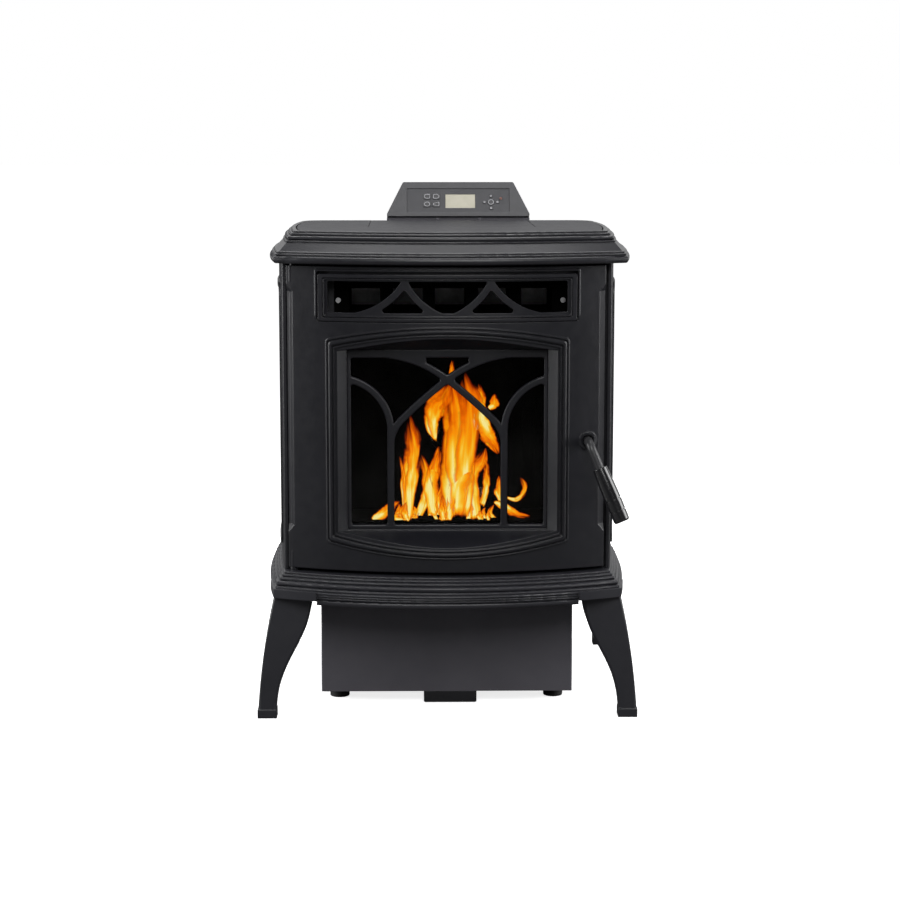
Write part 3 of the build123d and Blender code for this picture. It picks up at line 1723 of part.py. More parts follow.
def elevation_ring(outer, inner, outer_reach, inner_reach):
    """A bead that follows the bow, between boxes of (half width, low, high, corner)."""
    with BuildPart() as ring:
        with BuildSketch(upright(front_frame_y)):
            with BuildSketch(mode=Mode.PRIVATE) as hole:
                elevation_box(-inner[0], inner[0], inner[1], inner[2], inner[3])
            elevation_box(-outer[0], outer[0], outer[1], outer[2], outer[3])
            add(hole.sketch, mode=Mode.SUBTRACT)
        extrude(amount=overall_depth / 2)
        add(
            bowed_shell(outer_reach, inner_reach, outer[1] - door_rim, outer[2] + door_rim),
            mode=Mode.INTERSECT,
        )
    return ring.part


def bowed_opening(half_width, low, high, inner_reach, corner=0):
    """Cutter for an opening through everything in front of one bowed surface."""
    with BuildPart() as cutter:
        with BuildSketch(upright(front_frame_y)):
            elevation_box(-half_width, half_width, low, high, corner)
        extrude(amount=overall_depth / 2)
        add(
            bowed_shell(overall_depth, inner_reach, low - door_rim, high + door_rim),
            mode=Mode.INTERSECT,
        )
    return cutter.part


def pocket():
    """The splayed recess in front of the tracery, cut from in front of the door."""
    inner_half = moulding_half_width - moulding_band
    inner_low = moulding_corner_low + moulding_band
    inner_high = moulding_corner_high - moulding_band
    floor_half = tracery_half_width + seat_gap
    floor_low = tracery_low - sill_drop
    floor_high = tracery_high + seat_gap
    mouth_depth = pocket_floor_setback + door_skin
    side_scale = mouth_depth / (tracery_front_y - front_y(door_reach, inner_half))
    centre_scale = mouth_depth / pocket_floor_setback
    mouth_half = floor_half + (inner_half - floor_half) * side_scale
    mouth_low = floor_low + (inner_low - floor_low) * side_scale
    mouth_high = floor_high + (inner_high - floor_high) * side_scale
    sill = floor_low + (inner_low - moulding_sill_rise - floor_low) * centre_scale
    head = floor_high + (inner_high + moulding_head_rise - floor_high) * centre_scale
    with BuildPart() as recess:
        with BuildSketch(upright(tracery_front_y - mouth_depth)):
            make_face(
                arch_outline(
                    mouth_half, mouth_low, mouth_high, mouth_low - sill, head - mouth_high
                )
            )
        with BuildSketch(upright(tracery_front_y)):
            elevation_box(-floor_half, floor_half, floor_low, floor_high)
        loft(ruled=True)
    return recess.part


def edge_chamfer(x, side):
    """Cutter for the stopped chamfer on one upright edge of the door."""
    y = front_y(door_reach, x)
    low = door_bottom + door_chamfer_margin
    high = door_top - door_chamfer_margin / 2
    depth = door_chamfer / sqrt(2)
    across = (side * cos(radians(chamfer_turn)), -sin(radians(chamfer_turn)), 0)
    along = (across[1], -across[0], 0)
    with BuildPart() as cutter:
        with BuildSketch(Plane(origin=(side * x, y, 0), x_dir=across, z_dir=along)):
            with BuildLine():
                Polyline(
                    (depth, low - depth),
                    (0, low),
                    (-depth, low + 2 * depth),
                    (-depth, high - 2 * depth),
                    (0, high),
                    (depth, high + depth),
                    close=True,
                )
            make_face()
        extrude(amount=3 * door_chamfer, both=True)
    return cutter.part


with BuildPart() as door_casting:
    add(behind_front(door_reach, door_back_y, -door_left, door_right, door_bottom, door_top))
    add(
        behind_front(
            door_inner_reach,
            door_back_y,
            -door_left + door_rim,
            door_right - door_rim,
            door_bottom + door_rim,
            door_top - door_rim,
        ),
        mode=Mode.SUBTRACT,
    )
    add(
        behind_front(
            door_inner_reach,
            block_back_y,
            -window_block_half_width,
            window_block_half_width,
            window_block_low,
            window_block_high,
        )
    )
    for z in (door_bottom, door_top - hinge_boss_height):
        with Locations((hinge_x, hinge_y, z)):
            Cylinder(
                hinge_boss_radius, hinge_boss_height, align=(Align.CENTER, Align.CENTER, Align.MIN)
            )
    for inset, width, proud in moulding_rings:
        add(moulding_ring(inset, width, proud))
    add(
        elevation_ring(
            (
                grille_pocket_half_width + grille_surround,
                grille_pocket_low + 2 * grille_corner,
                grille_pocket_high + grille_surround,
                grille_surround,
            ),
            (grille_pocket_half_width, window_high, grille_pocket_high, grille_corner),
            door_reach + grille_surround_proud,
            door_inner_reach,
        )
    )
    add(
        elevation_ring(
            (
                grille_pocket_half_width + grille_ledge,
                grille_pocket_low - grille_ledge,
                grille_pocket_high + grille_surround,
                0,
            ),
            (
                grille_half_width - grille_ledge,
                grille_low + grille_ledge,
                grille_high - grille_ledge,
                0,
            ),
            door_inner_reach,
            door_inner_reach - door_skin / 2,
        )
    )
    add(
        bowed_opening(
            grille_pocket_half_width,
            grille_pocket_low,
            grille_pocket_high,
            door_inner_reach,
            grille_corner,
        ),
        mode=Mode.SUBTRACT,
    )
    add(
        bowed_opening(
            grille_half_width - grille_ledge,
            grille_low + grille_ledge,
            grille_high - grille_ledge,
            -front_frame_y,
        ),
        mode=Mode.SUBTRACT,
    )
    add(pocket(), mode=Mode.SUBTRACT)
    with BuildSketch(upright(tracery_back_y)):
        elevation_box(
            -tracery_half_width - seat_gap,
            tracery_half_width + seat_gap,
            tracery_low - seat_gap,
            tracery_high + seat_gap,
        )
    extrude(amount=2 * tracery_thickness, mode=Mode.SUBTRACT)
    with BuildSketch(upright(block_back_y)):
        elevation_box(-cavity_half_width, cavity_half_width, cavity_low, cavity_high)
    extrude(amount=block_back_y - tracery_back_y, mode=Mode.SUBTRACT)
    with BuildSketch(upright(block_back_y)):
        elevation_box(
            -cavity_half_width, cavity_half_width, cavity_low - clip_seat, cavity_high + clip_seat
        )
    extrude(amount=block_back_y - glass_back_y, mode=Mode.SUBTRACT)
    with BuildSketch(upright(block_back_y)):
        elevation_box(
            -rope_half_width - rope_width / 2,
            rope_half_width + rope_width / 2,
            rope_low - rope_width / 2,
            rope_high + rope_width / 2,
            2 * rope_width,
        )
        with Locations((0, (rope_low + rope_high) / 2)):
            RectangleRounded(
                2 * rope_half_width - rope_width,
                rope_high - rope_low - rope_width,
                rope_width,
                mode=Mode.SUBTRACT,
            )
    extrude(amount=rope_groove, mode=Mode.SUBTRACT)
    with BuildSketch(upright(glass_back_y)):
        with Locations(*clip_screws):
            Circle(clip_screw_radius + fit_gap)
    extrude(amount=clip_screw_length, mode=Mode.SUBTRACT)
    with BuildSketch(upright(latch_front_y - catch_gap)):
        with Locations((handle_x, handle_z)):
            Circle(handle_boss_radius)
    extrude(amount=latch_front_y - catch_gap - boss_front_y)
    boss_rims = door_casting.edges().filter_by(GeomType.CIRCLE)
    boss_rims = boss_rims.filter_by(lambda rim: abs(rim.radius - handle_boss_radius) < fit_gap)
    fillet(boss_rims.sort_by(Axis.Y)[0], sheet)
    with BuildSketch(upright(front_frame_y)):
        with Locations((handle_x, handle_z)):
            Circle(handle_rod_radius + running_gap)
    extrude(amount=overall_depth / 4, mode=Mode.SUBTRACT)
    with BuildSketch(upright(boss_front_y + handle_boss_bore_depth)):
        with Locations((handle_x, handle_z)):
            Circle(handle_boss_bore)
    extrude(amount=overall_depth / 4, mode=Mode.SUBTRACT)
    with Locations((hinge_x, hinge_y, (door_bottom + door_top) / 2)):
        Cylinder(hinge_pin_radius, door_top - door_bottom, mode=Mode.SUBTRACT)
    add(edge_chamfer(door_left, -1), mode=Mode.SUBTRACT)
    add(edge_chamfer(door_right, 1), mode=Mode.SUBTRACT)
save(door_casting.part, "door_casting")

with BuildPart() as door_hinge_pins:
    pin_foot = base_top - hinge_pin_engagement + seat_gap
    pin_crown = body_top + hinge_pin_engagement - seat_gap
    for low, high, radius in (
        (pin_foot, door_bottom + hinge_boss_height, hinge_pin_radius),
        (base_top, door_bottom, hinge_collar_radius),
        (door_top - hinge_boss_height, pin_crown, hinge_pin_radius),
    ):
        with Locations((hinge_x, hinge_y, low)):
            Cylinder(radius, high - low, align=(Align.CENTER, Align.CENTER, Align.MIN))
save(door_hinge_pins.part, "door_hinge_pins")

with BuildPart() as door_gasket:
    with BuildSketch(upright(front_frame_y)):
        elevation_box(
            -rope_half_width - rope_width / 2 + fit_gap,
            rope_half_width + rope_width / 2 - fit_gap,
            rope_low - rope_width / 2 + fit_gap,
            rope_high + rope_width / 2 - fit_gap,
            2 * rope_width,
        )
        with Locations((0, (rope_low + rope_high) / 2)):
            RectangleRounded(
                2 * rope_half_width - rope_width + 2 * fit_gap,
                rope_high - rope_low - rope_width + 2 * fit_gap,
                rope_width,
                mode=Mode.SUBTRACT,
            )
    extrude(amount=front_frame_y - block_back_y + rope_groove)
save(door_gasket.part, "door_gasket")

# ---------------------------------------------------------------- window

outer_arch_x = mullion_offset + outer_arch_radius
tracery_middle = (tracery_low + tracery_high) / 2
window_middle = (window_low + window_high) / 2


def tracery_lines(hand):
    """Centre lines of one mullion with the two arches that spring from it."""
    with BuildLine() as lines:
        Line((hand * mullion_offset, tracery_low), (hand * mullion_offset, outer_arch_spring))
        rail_x = window_half_width + tracery_bar
        rise = sqrt(outer_arch_radius**2 - (outer_arch_x - rail_x) ** 2)
        diagonal = outer_arch_radius / sqrt(2)
        ThreePointArc(
            (hand * mullion_offset, outer_arch_spring),
            (hand * (outer_arch_x - diagonal), outer_arch_spring + diagonal),
            (hand * rail_x, outer_arch_spring + rise),
        )
        x, z, turned = mullion_offset, inner_arch_spring, 0
        for radius, turn in inner_arch_arcs:
            start = radians(turned)
            points = []
            for angle in (start, start + radians(turn / 2), start + radians(turn)):
                reach = x + radius * (cos(angle) - cos(start))
                points.append((hand * reach, z + radius * (sin(angle) - sin(start))))
            ThreePointArc(*points)
            x, z = hand * points[-1][0], points[-1][1]
            turned += turn
    return lines.edges()


with BuildPart() as window_tracery:
    with BuildSketch(upright(tracery_back_y)) as tracery_face:
        elevation_box(-tracery_half_width, tracery_half_width, tracery_low, tracery_high)
        with Locations((0, window_middle)):
            Rectangle(2 * window_half_width, window_high - window_low, mode=Mode.SUBTRACT)
        for hand in (-1, 1):
            trace(tracery_lines(hand), line_width=tracery_bar)
            with Locations(
                (
                    hand * (crown_web_inner + crown_web_outer) / 2,
                    (window_high - crown_web_drop + tracery_high) / 2,
                )
            ):
                Rectangle(
                    crown_web_outer - crown_web_inner, tracery_high - window_high + crown_web_drop
                )
        with Locations((0, tracery_middle)):
            Rectangle(2 * tracery_half_width, tracery_high - tracery_low, mode=Mode.INTERSECT)
        fillet(true_corners(tracery_face, 4 * tracery_corner), tracery_corner)
    extrude(amount=tracery_thickness)
    bar_edges = window_tracery.faces().sort_by(Axis.Y)[0].inner_wires()
    fillet([edge for hole in bar_edges for edge in hole.edges()], tracery_edge_round)
    with BuildSketch(upright(flange_back_y)):
        elevation_box(
            -tracery_half_width - tracery_flange,
            tracery_half_width + tracery_flange,
            tracery_low - tracery_flange,
            tracery_high + tracery_flange,
        )
        with Locations((0, window_middle)):
            Rectangle(2 * window_half_width, window_high - window_low, mode=Mode.SUBTRACT)
    extrude(amount=tracery_flange_thickness)
save(window_tracery.part, "window_tracery")

glass_half_width = tracery_half_width + glass_seat
glass_low = tracery_low - glass_seat
glass_high = tracery_high + glass_seat

with BuildPart() as glass_gasket:
    with BuildSketch(upright(glass_front_y)):
        elevation_box(-glass_half_width, glass_half_width, glass_low, glass_high)
        with Locations((0, window_middle)):
            Rectangle(
                2 * window_half_width + gasket_thickness,
                window_high - window_low + gasket_thickness,
                mode=Mode.SUBTRACT,
            )
    extrude(amount=gasket_thickness)
save(glass_gasket.part, "glass_gasket")

with BuildPart() as door_glass:
    with BuildSketch(upright(glass_back_y)):
        elevation_box(-glass_half_width, glass_half_width, glass_low, glass_high)
    extrude(amount=glass_thickness)
save(door_glass.part, "door_glass")

with BuildPart() as glass_clips:
    for x, z in clip_screws:
        inward = 1 if z < (window_low + window_high) / 2 else -1
        clip_z = z + inward * (clip_width / 2 - clip_seat / 2 + fit_gap)
        with BuildSketch(upright(glass_back_y + clip_sheet)):
            with Locations((x, clip_z)):
                RectangleRounded(clip_length, clip_width, clip_sheet)
            with Locations((x, z)):
                Circle(clip_screw_radius + fit_gap, mode=Mode.SUBTRACT)
        extrude(amount=clip_sheet)
    with BuildSketch(upright(glass_back_y + clip_sheet)):
        with Locations(*clip_screws):
            Circle(clip_screw_radius)
    extrude(amount=clip_screw_length)
    with BuildSketch(upright(glass_back_y + 2 * clip_sheet)):
        with Locations(*clip_screws):
            Circle(clip_head_radius)
    extrude(amount=clip_sheet)
save(glass_clips.part, "glass_clips")

# ---------------------------------------------------------------- upper grille


def middle_bowl_bar(hand):
    """One of the two arcs of the middle bowl, up to the middle of the grille."""
    with BuildSketch() as bar:
        with Locations((-hand * middle_bowl_centre_x, middle_bowl_centre_z)):
            Circle(middle_bowl_radius + grille_bar / 2)
            Circle(middle_bowl_radius - grille_bar / 2, mode=Mode.SUBTRACT)
        with Locations((hand * grille_half_width / 2, grille_low)):
            Rectangle(grille_half_width, grille_half_width, mode=Mode.INTERSECT)
    return bar.sketch


def grille_box(insets, corner):
    """Box of the grille's frame, inset by (side, head, foot), with rounded corners."""
    side, head, foot = insets
    return (grille_half_width - side, grille_low + foot, grille_high - head, corner)


with BuildPart() as upper_grille:
    with BuildSketch(upright(front_frame_y)) as grille_face:
        for hand in (-1, 1):
            with Locations((hand * bowl_centre_x, bowl_centre_z)):
                Circle(bowl_radius + grille_bar / 2)
        for hand in (-1, 1):
            with Locations((hand * bowl_centre_x, bowl_centre_z)):
                Circle(bowl_radius - grille_bar / 2, mode=Mode.SUBTRACT)
        for hand in (-1, 1):
            add(middle_bowl_bar(hand))
        elevation_box(
            -grille_half_width, grille_half_width, grille_low, grille_high, mode=Mode.INTERSECT
        )
        with BuildSketch(mode=Mode.PRIVATE) as bordering:
            elevation_box(-grille_half_width, grille_half_width, grille_low, grille_high)
            elevation_box(
                -grille_half_width + grille_frame_side,
                grille_half_width - grille_frame_side,
                grille_low + grille_frame_foot,
                grille_high - grille_frame_head,
                mode=Mode.SUBTRACT,
            )
        add(bordering.sketch)
        fillet(true_corners(grille_face, 4 * grille_opening_corner), grille_opening_corner)
        elevation_box(
            -grille_half_width,
            grille_half_width,
            grille_low,
            grille_high,
            grille_corner,
            mode=Mode.INTERSECT,
        )
    extrude(amount=overall_depth / 2)
    add(
        bowed_shell(door_reach - grille_bar_setback, door_inner_reach, door_bottom, door_top),
        mode=Mode.INTERSECT,
    )
    for outer_insets, inner_insets, proud in grille_rings:
        add(
            elevation_ring(
                grille_box(outer_insets, grille_corner),
                grille_box(inner_insets, grille_corner * 0.7),
                door_reach + proud,
                door_inner_reach,
            )
        )
save(upper_grille.part, "upper_grille")

# ---------------------------------------------------------------- handle and latch

handle_corner = Vector(handle_x, boss_front_y - handle_standoff, handle_z)
handle_direction = Vector(
    cos(radians(handle_lean)) * sin(radians(handle_slant)),
    -sin(radians(handle_lean)),
    -cos(radians(handle_lean)) * cos(radians(handle_slant)),
)

with BuildPart() as handle_rod:
    with BuildLine() as rod_path:
        FilletPolyline(
            Vector(handle_x, latch_back_y, handle_z),
            handle_corner,
            handle_corner + handle_direction * handle_rod_reach,
            radius=handle_bend_radius,
        )
    with BuildSketch(upright(latch_back_y)):
        with Locations((handle_x, handle_z)):
            Circle(handle_rod_radius)
    sweep(path=rod_path.line)
    with BuildSketch(upright(latch_back_y)):
        with Locations((handle_x - latch_length / 2, handle_z)):
            Rectangle(latch_length, latch_width)
    extrude(amount=latch_thickness)
save(handle_rod.part, "handle_rod")

grip_plane = Plane(
    origin=handle_corner + handle_direction * grip_start,
    x_dir=(0, -1, 0),
    z_dir=handle_direction,
)
with BuildPart() as grip_turning:
    with BuildSketch(Plane.XZ):
        with BuildLine() as grip_outline:
            Line((0, 0), (grip_top_radius, 0))
            ThreePointArc(
                (grip_top_radius, 0), (grip_radius, grip_length / 2), (grip_end_radius, grip_length)
            )
            Polyline((grip_end_radius, grip_length), (0, grip_length), (0, 0))
        make_face(grip_outline.edges())
    revolve(axis=Axis.Z)
    fillet(grip_turning.edges().group_by(Axis.Z)[-1], grip_end_round)
    fillet(grip_turning.edges().group_by(Axis.Z)[0], grip_ring_groove)
    for place in grip_ring_places:
        with BuildSketch(Plane.XY.offset(place)):
            Circle(2 * grip_radius)
            Circle(grip_radius - 2 * grip_ring_groove, mode=Mode.SUBTRACT)
        extrude(amount=2 * grip_ring_groove, mode=Mode.SUBTRACT)
    with BuildSketch(Plane.XY):
        Circle(handle_rod_radius)
    extrude(amount=handle_rod_reach - grip_start + fit_gap, mode=Mode.SUBTRACT)

with BuildPart() as handle_grip:
    add(grip_plane.location * grip_turning.part)
save(handle_grip.part, "handle_grip")

# ---------------------------------------------------------------- control panel

panel_front_y = cornice_rear_y + panel_behind_cornice
panel_plane = Plane(
    origin=(panel_x, panel_front_y, cornice_top + panel_above_top),
    x_dir=(1, 0, 0),
    z_dir=(0, -cos(radians(panel_tilt)), sin(radians(panel_tilt))),
)
face_v = face_above_base + face_height / 2
display_front = face_recess - face_thickness + seat_gap

with BuildPart() as control_housing:
    with BuildSketch(panel_plane) as housing_outline:
        with BuildLine():
            Polyline(
                (-panel_base_width / 2, 0),
                (panel_base_width / 2, 0),
                (panel_top_width / 2, panel_height),
                (-panel_top_width / 2, panel_height),
                close=True,
            )
        make_face()
        fillet(housing_outline.vertices(), panel_round)
    extrude(amount=-panel_depth)
    with BuildSketch(panel_plane):
        with Locations((0, face_v)):
            RectangleRounded(face_width, face_height, sheet)
    extrude(amount=-face_recess, mode=Mode.SUBTRACT)
    with BuildSketch(panel_plane.offset(-face_recess)):
        with Locations((0, face_v)):
            Rectangle(face_width - 2 * face_rim, face_height - 2 * face_rim)
    extrude(amount=-cavity_depth, mode=Mode.SUBTRACT)
save(control_housing.part, "control_housing")


key_shapes = {}
for name, side, row in (
    ("upper_left", -1, 1),
    ("upper_right", 1, 1),
    ("lower_left", -1, -1),
    ("lower_right", 1, -1),
):
    key_shapes["key_" + name] = (
        square_keys_x + side * square_key_pitch_x / 2,
        face_v + row * square_key_pitch_v / 2,
        square_key_width / 2,
        square_key_height / 2,
        0,
    )
for name, step_x, step_v in (
    ("up", 0, 1),
    ("down", 0, -1),
    ("left", -1, 0),
    ("right", 1, 0),
):
    key_shapes["key_nav_" + name] = (
        nav_x + step_x * nav_reach,
        face_v + nav_v + step_v * nav_reach,
        nav_key_size / 2,
        nav_key_size / 2,
        0,
    )
key_shapes["key_nav_centre"] = (nav_x, face_v + nav_v, 0, 0, nav_centre_radius)
key_shapes["key_round"] = (round_key_x, face_v + round_key_v, 0, 0, round_key_radius)


def key_outline(shape, grow, mode=Mode.ADD):
    """Outline of one key, grown by a clearance, drawn into the current sketch."""
    u, v, half_width, half_height, radius = shape
    with Locations((u, v)):
        if radius:
            Circle(radius + grow, mode=mode)
        else:
            RectangleRounded(
                2 * (half_width + grow),
                2 * (half_height + grow),
                half_height / 2 + grow,
                mode=mode,
            )


with BuildPart() as control_face:
    with BuildSketch(panel_plane.offset(-face_recess)):
        with Locations((0, face_v)):
            RectangleRounded(face_width - 2 * fit_gap, face_height - 2 * fit_gap, sheet)
        with Locations((display_offset_x, face_v + display_offset_v)):
            Rectangle(
                display_width + 2 * fit_gap, display_height + 2 * fit_gap, mode=Mode.SUBTRACT
            )
        for shape in key_shapes.values():
            key_outline(shape, key_gap, Mode.SUBTRACT)
    extrude(amount=face_thickness)
save(control_face.part, "control_face")

with BuildPart() as control_display:
    with BuildSketch(panel_plane.offset(-display_front)):
        with Locations((display_offset_x, face_v + display_offset_v)):
            Rectangle(display_width, display_height)
    extrude(amount=-display_thickness)
save(control_display.part, "control_display")

key_top = key_proud - face_recess + face_thickness

for name, shape in key_shapes.items():
    with BuildPart() as key:
        with BuildSketch(panel_plane.offset(key_top)):
            key_outline(shape, 0)
        extrude(amount=-key_length)
        top_rim = key.faces().sort_by(Axis(panel_plane.origin, panel_plane.z_dir))[-1].edges()
        chamfer(top_rim, key_gap)
    save(key.part, name)

underside_drop = sin(radians(panel_tilt)) / cos(radians(panel_tilt))
bracket_front_y = panel_front_y + bracket_side_gap * 4
bracket_rear_y = panel_front_y + panel_depth * cos(radians(panel_tilt))
bracket_low_z = cornice_top - bracket_height
bracket_half_width = panel_base_width / 2 - bracket_setback
post_y = (panel_front_y + bracket_front_y) / 2

with BuildPart() as panel_bracket:
    with BuildSketch(Plane.YZ.offset(panel_x)):
        with BuildLine():
            Polyline(
                (bracket_front_y, bracket_low_z),
                (bracket_rear_y, bracket_low_z),
                (
                    bracket_rear_y,
                    panel_plane.origin.Z - (bracket_rear_y - panel_front_y) * underside_drop,
                ),
                (
                    bracket_front_y,
                    panel_plane.origin.Z - (bracket_front_y - panel_front_y) * underside_drop,
                ),
                close=True,
            )
        make_face()
    extrude(amount=bracket_half_width, both=True)
    with Locations(
        *[
            (panel_x + hand * bracket_arm_spacing / 2, 0, bracket_low_z)
            for hand in (-1, 1)
        ]
    ):
        with Locations((0, (cornice_rear_y + bracket_front_y) / 2, 0)):
            Box(
                bracket_arm_width,
                bracket_front_y - cornice_rear_y,
                bracket_arm_thickness,
                align=(Align.CENTER, Align.CENTER, Align.MIN),
            )
    with Locations(
        *[
            (panel_x + post_x, (post_y + bracket_front_y) / 2, bracket_low_z)
            for post_x in (post_left_x, post_right_x)
        ]
    ):
        Box(
            4 * post_radius,
            bracket_front_y - post_y + 2 * post_radius,
            bracket_arm_thickness,
            align=(Align.CENTER, Align.CENTER, Align.MIN),
        )
    post_height = (
        panel_plane.origin.Z
        - (post_y + post_radius - panel_front_y) * underside_drop
        - bracket_low_z
        - fit_gap
    )
    with Locations(
        *[
            (panel_x + post_x, post_y, bracket_low_z)
            for post_x in (post_left_x, post_right_x)
        ]
    ):
        Cylinder(post_radius, post_height, align=(Align.CENTER, Align.CENTER, Align.MIN))
save(panel_bracket.part, "panel_bracket")
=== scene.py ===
"""Looks of the pellet stove: finishes, seals, fire, pellets, key rims, floor, light, camera."""

import logging
import math
import random
from dataclasses import dataclass, field
from enum import Enum

import bmesh
import bpy
from mathutils import Matrix, Vector

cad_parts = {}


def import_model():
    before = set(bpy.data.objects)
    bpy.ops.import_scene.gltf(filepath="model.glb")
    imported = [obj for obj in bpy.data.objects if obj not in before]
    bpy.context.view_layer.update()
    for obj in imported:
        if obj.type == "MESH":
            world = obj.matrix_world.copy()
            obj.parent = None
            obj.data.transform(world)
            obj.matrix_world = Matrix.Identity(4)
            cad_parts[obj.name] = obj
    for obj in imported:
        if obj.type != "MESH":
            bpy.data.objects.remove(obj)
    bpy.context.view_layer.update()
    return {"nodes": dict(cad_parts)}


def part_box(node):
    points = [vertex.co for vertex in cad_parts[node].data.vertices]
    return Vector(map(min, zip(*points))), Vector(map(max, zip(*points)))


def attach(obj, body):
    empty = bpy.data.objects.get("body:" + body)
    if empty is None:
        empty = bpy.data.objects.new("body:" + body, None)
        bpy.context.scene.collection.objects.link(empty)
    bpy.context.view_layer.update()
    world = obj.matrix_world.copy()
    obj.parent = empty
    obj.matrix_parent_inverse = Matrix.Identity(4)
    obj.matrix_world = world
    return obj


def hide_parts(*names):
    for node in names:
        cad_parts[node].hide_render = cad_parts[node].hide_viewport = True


LOG = logging.getLogger("pellet_stove")
PELLET_RADII = (0.0031, 0.0029)
# Near black for the tube ends in the firebox: soot, and painted shade darker than soot.
SOOT_AND_PAINTED_SHADE = (0.002, 0.0018, 0.0016, 1.0)
Colour = tuple[float, float, float]
Point = tuple[float, float, float]
Path = list[tuple[float, float, float]]
Socket = bpy.types.NodeSocket
CAMERA_EYE: Point = (-0.0546, -3.980, 1.012)


class Face(Enum):
    """How strongly a cast or sheet face shows its grain."""

    FINE = 0.35
    SANDY = 1.0


class NodeBench:
    """Builds the node tree of one material from short calls."""

    def __init__(self, name: str) -> None:
        """Start an empty material.

        Args:
            name: Name of the material.
        """
        self.material = bpy.data.materials.new(name)
        self.material.use_nodes = True
        self.tree = self.material.node_tree
        self.tree.nodes.clear()
        self.output = self.tree.nodes.new("ShaderNodeOutputMaterial")
        self.place = self.tree.nodes.new("ShaderNodeTexCoord").outputs["Object"]

    def link(self, start: Socket, end: Socket) -> None:
        """Join two sockets."""
        self.tree.links.new(start, end)

    def node(self, kind: str, **values: object) -> bpy.types.Node:
        """Add a node and set its plain properties.

        Args:
            kind: Blender's name of the node type.
            values: Properties of the node.

        Returns:
            The new node.
        """
        made = self.tree.nodes.new(kind)
        for key, value in values.items():
            setattr(made, key, value)
        return made

    def feed(self, node: bpy.types.Node, **inputs: object) -> bpy.types.Node:
        """Give inputs of a node a value or a link, by name with _ for each space.

        Args:
            node: The node to feed.
            inputs: Values or sockets.

        Returns:
            The same node.
        """
        for key, value in inputs.items():
            socket = node.inputs[key.replace("_", " ")]
            if isinstance(value, bpy.types.NodeSocket):
                self.link(value, socket)
            else:
                socket.default_value = value
        return node

    def noise(self, scale: float, detail: float = 4.0, rough: float = 0.6) -> Socket:
        """Noise over the object, in metres.

        Args:
            scale: Features per metre.
            detail: Octaves of the noise.
            rough: Weight of the finer octaves.

        Returns:
            The noise's value socket.
        """
        made = self.feed(
            self.node("ShaderNodeTexNoise"),
            Vector=self.place,
            Scale=scale,
            Detail=detail,
            Roughness=rough,
        )
        return made.outputs["Fac"]

    def ramp(self, value: Socket, stops: list[tuple[float, Colour]]) -> Socket:
        """Map a value to colours.

        Args:
            value: The value to map.
            stops: Places from 0 to 1 with their colours.

        Returns:
            The colour socket.
        """
        made = self.node("ShaderNodeValToRGB")
        band = made.color_ramp
        while len(band.elements) < len(stops):
            band.elements.new(0.5)
        for element, (place, colour) in zip(band.elements, stops):
            element.position = place
            element.color = (*colour, 1.0)
        self.link(value, made.inputs["Fac"])
        return made.outputs["Color"]

    def spread(self, value: Socket, low: float, high: float) -> Socket:
        """Map a value from 0.3–0.7 to a range.

        Args:
            value: The value to map.
            low: Result at 0.3.
            high: Result at 0.7.

        Returns:
            The mapped value's socket.
        """
        made = self.node("ShaderNodeMapRange")
        self.link(value, made.inputs["Value"])
        ends = {"From Min": 0.3, "From Max": 0.7, "To Min": low, "To Max": high}
        for key, number in ends.items():
            made.inputs[key].default_value = number
        return made.outputs["Result"]

    def math(
        self, operation: str, first: Socket | float, second: Socket | float = 0.0
    ) -> Socket:
        """Work out one value from two.

        Args:
            operation: Blender's name of the operation.
            first: First value or socket.
            second: Second value or socket.

        Returns:
            The result's socket.
        """
        made = self.node("ShaderNodeMath", operation=operation)
        for index, value in enumerate((first, second)):
            if isinstance(value, bpy.types.NodeSocket):
                self.link(value, made.inputs[index])
            else:
                made.inputs[index].default_value = value
        return made.outputs["Value"]

    def relief(self, height: Socket, depth: float, edge: float = 0.0) -> Socket:
        """Bump from a height, on edges rounded by a bevel.

        Args:
            height: Height from 0 to 1.
            depth: Metres from lowest to highest.
            edge: Radius of the rounded edges in metres.

        Returns:
            The normal's socket.
        """
        bump = self.feed(self.node("ShaderNodeBump"), Height=height, Distance=depth, Strength=1.0)
        if edge:
            round_edge = self.feed(self.node("ShaderNodeBevel", samples=6), Radius=edge)
            self.link(round_edge.outputs["Normal"], bump.inputs["Normal"])
        return bump.outputs["Normal"]

    def surface(self, **inputs: object) -> bpy.types.Material:
        """Finish the material with one principled shader.

        Args:
            inputs: Values or sockets of the shader.

        Returns:
            The material.
        """
        shader = self.feed(self.node("ShaderNodeBsdfPrincipled"), **inputs)
        self.link(shader.outputs["BSDF"], self.output.inputs["Surface"])
        return self.material


@dataclass(frozen=True)
class StovePaint:
    """Satin black stove paint on cast iron or sheet."""

    name: str
    dark: Colour
    light: Colour
    smooth: float
    rough: float
    face: Face
    edge: float
    shine: float = 0.5
    grain_depth: float = 0.00009

    def build(self) -> bpy.types.Material:
        """Material with a soft mottle, cast grain and rounded edges.

        Returns:
            The material.
        """
        bench = NodeBench(self.name)
        mottle = bench.noise(9.0, 3.0)
        grain = bench.noise(900.0, 3.0, 0.7)
        dents = bench.noise(60.0, 4.0)
        height = bench.math("ADD", grain, bench.math("MULTIPLY", dents, 0.9))
        return bench.surface(
            Base_Color=bench.ramp(mottle, [(0.3, self.dark), (0.7, self.light)]),
            Roughness=bench.spread(dents, self.smooth, self.rough),
            Specular_IOR_Level=self.shine,
            Normal=bench.relief(height, self.grain_depth * self.face.value, self.edge),
        )


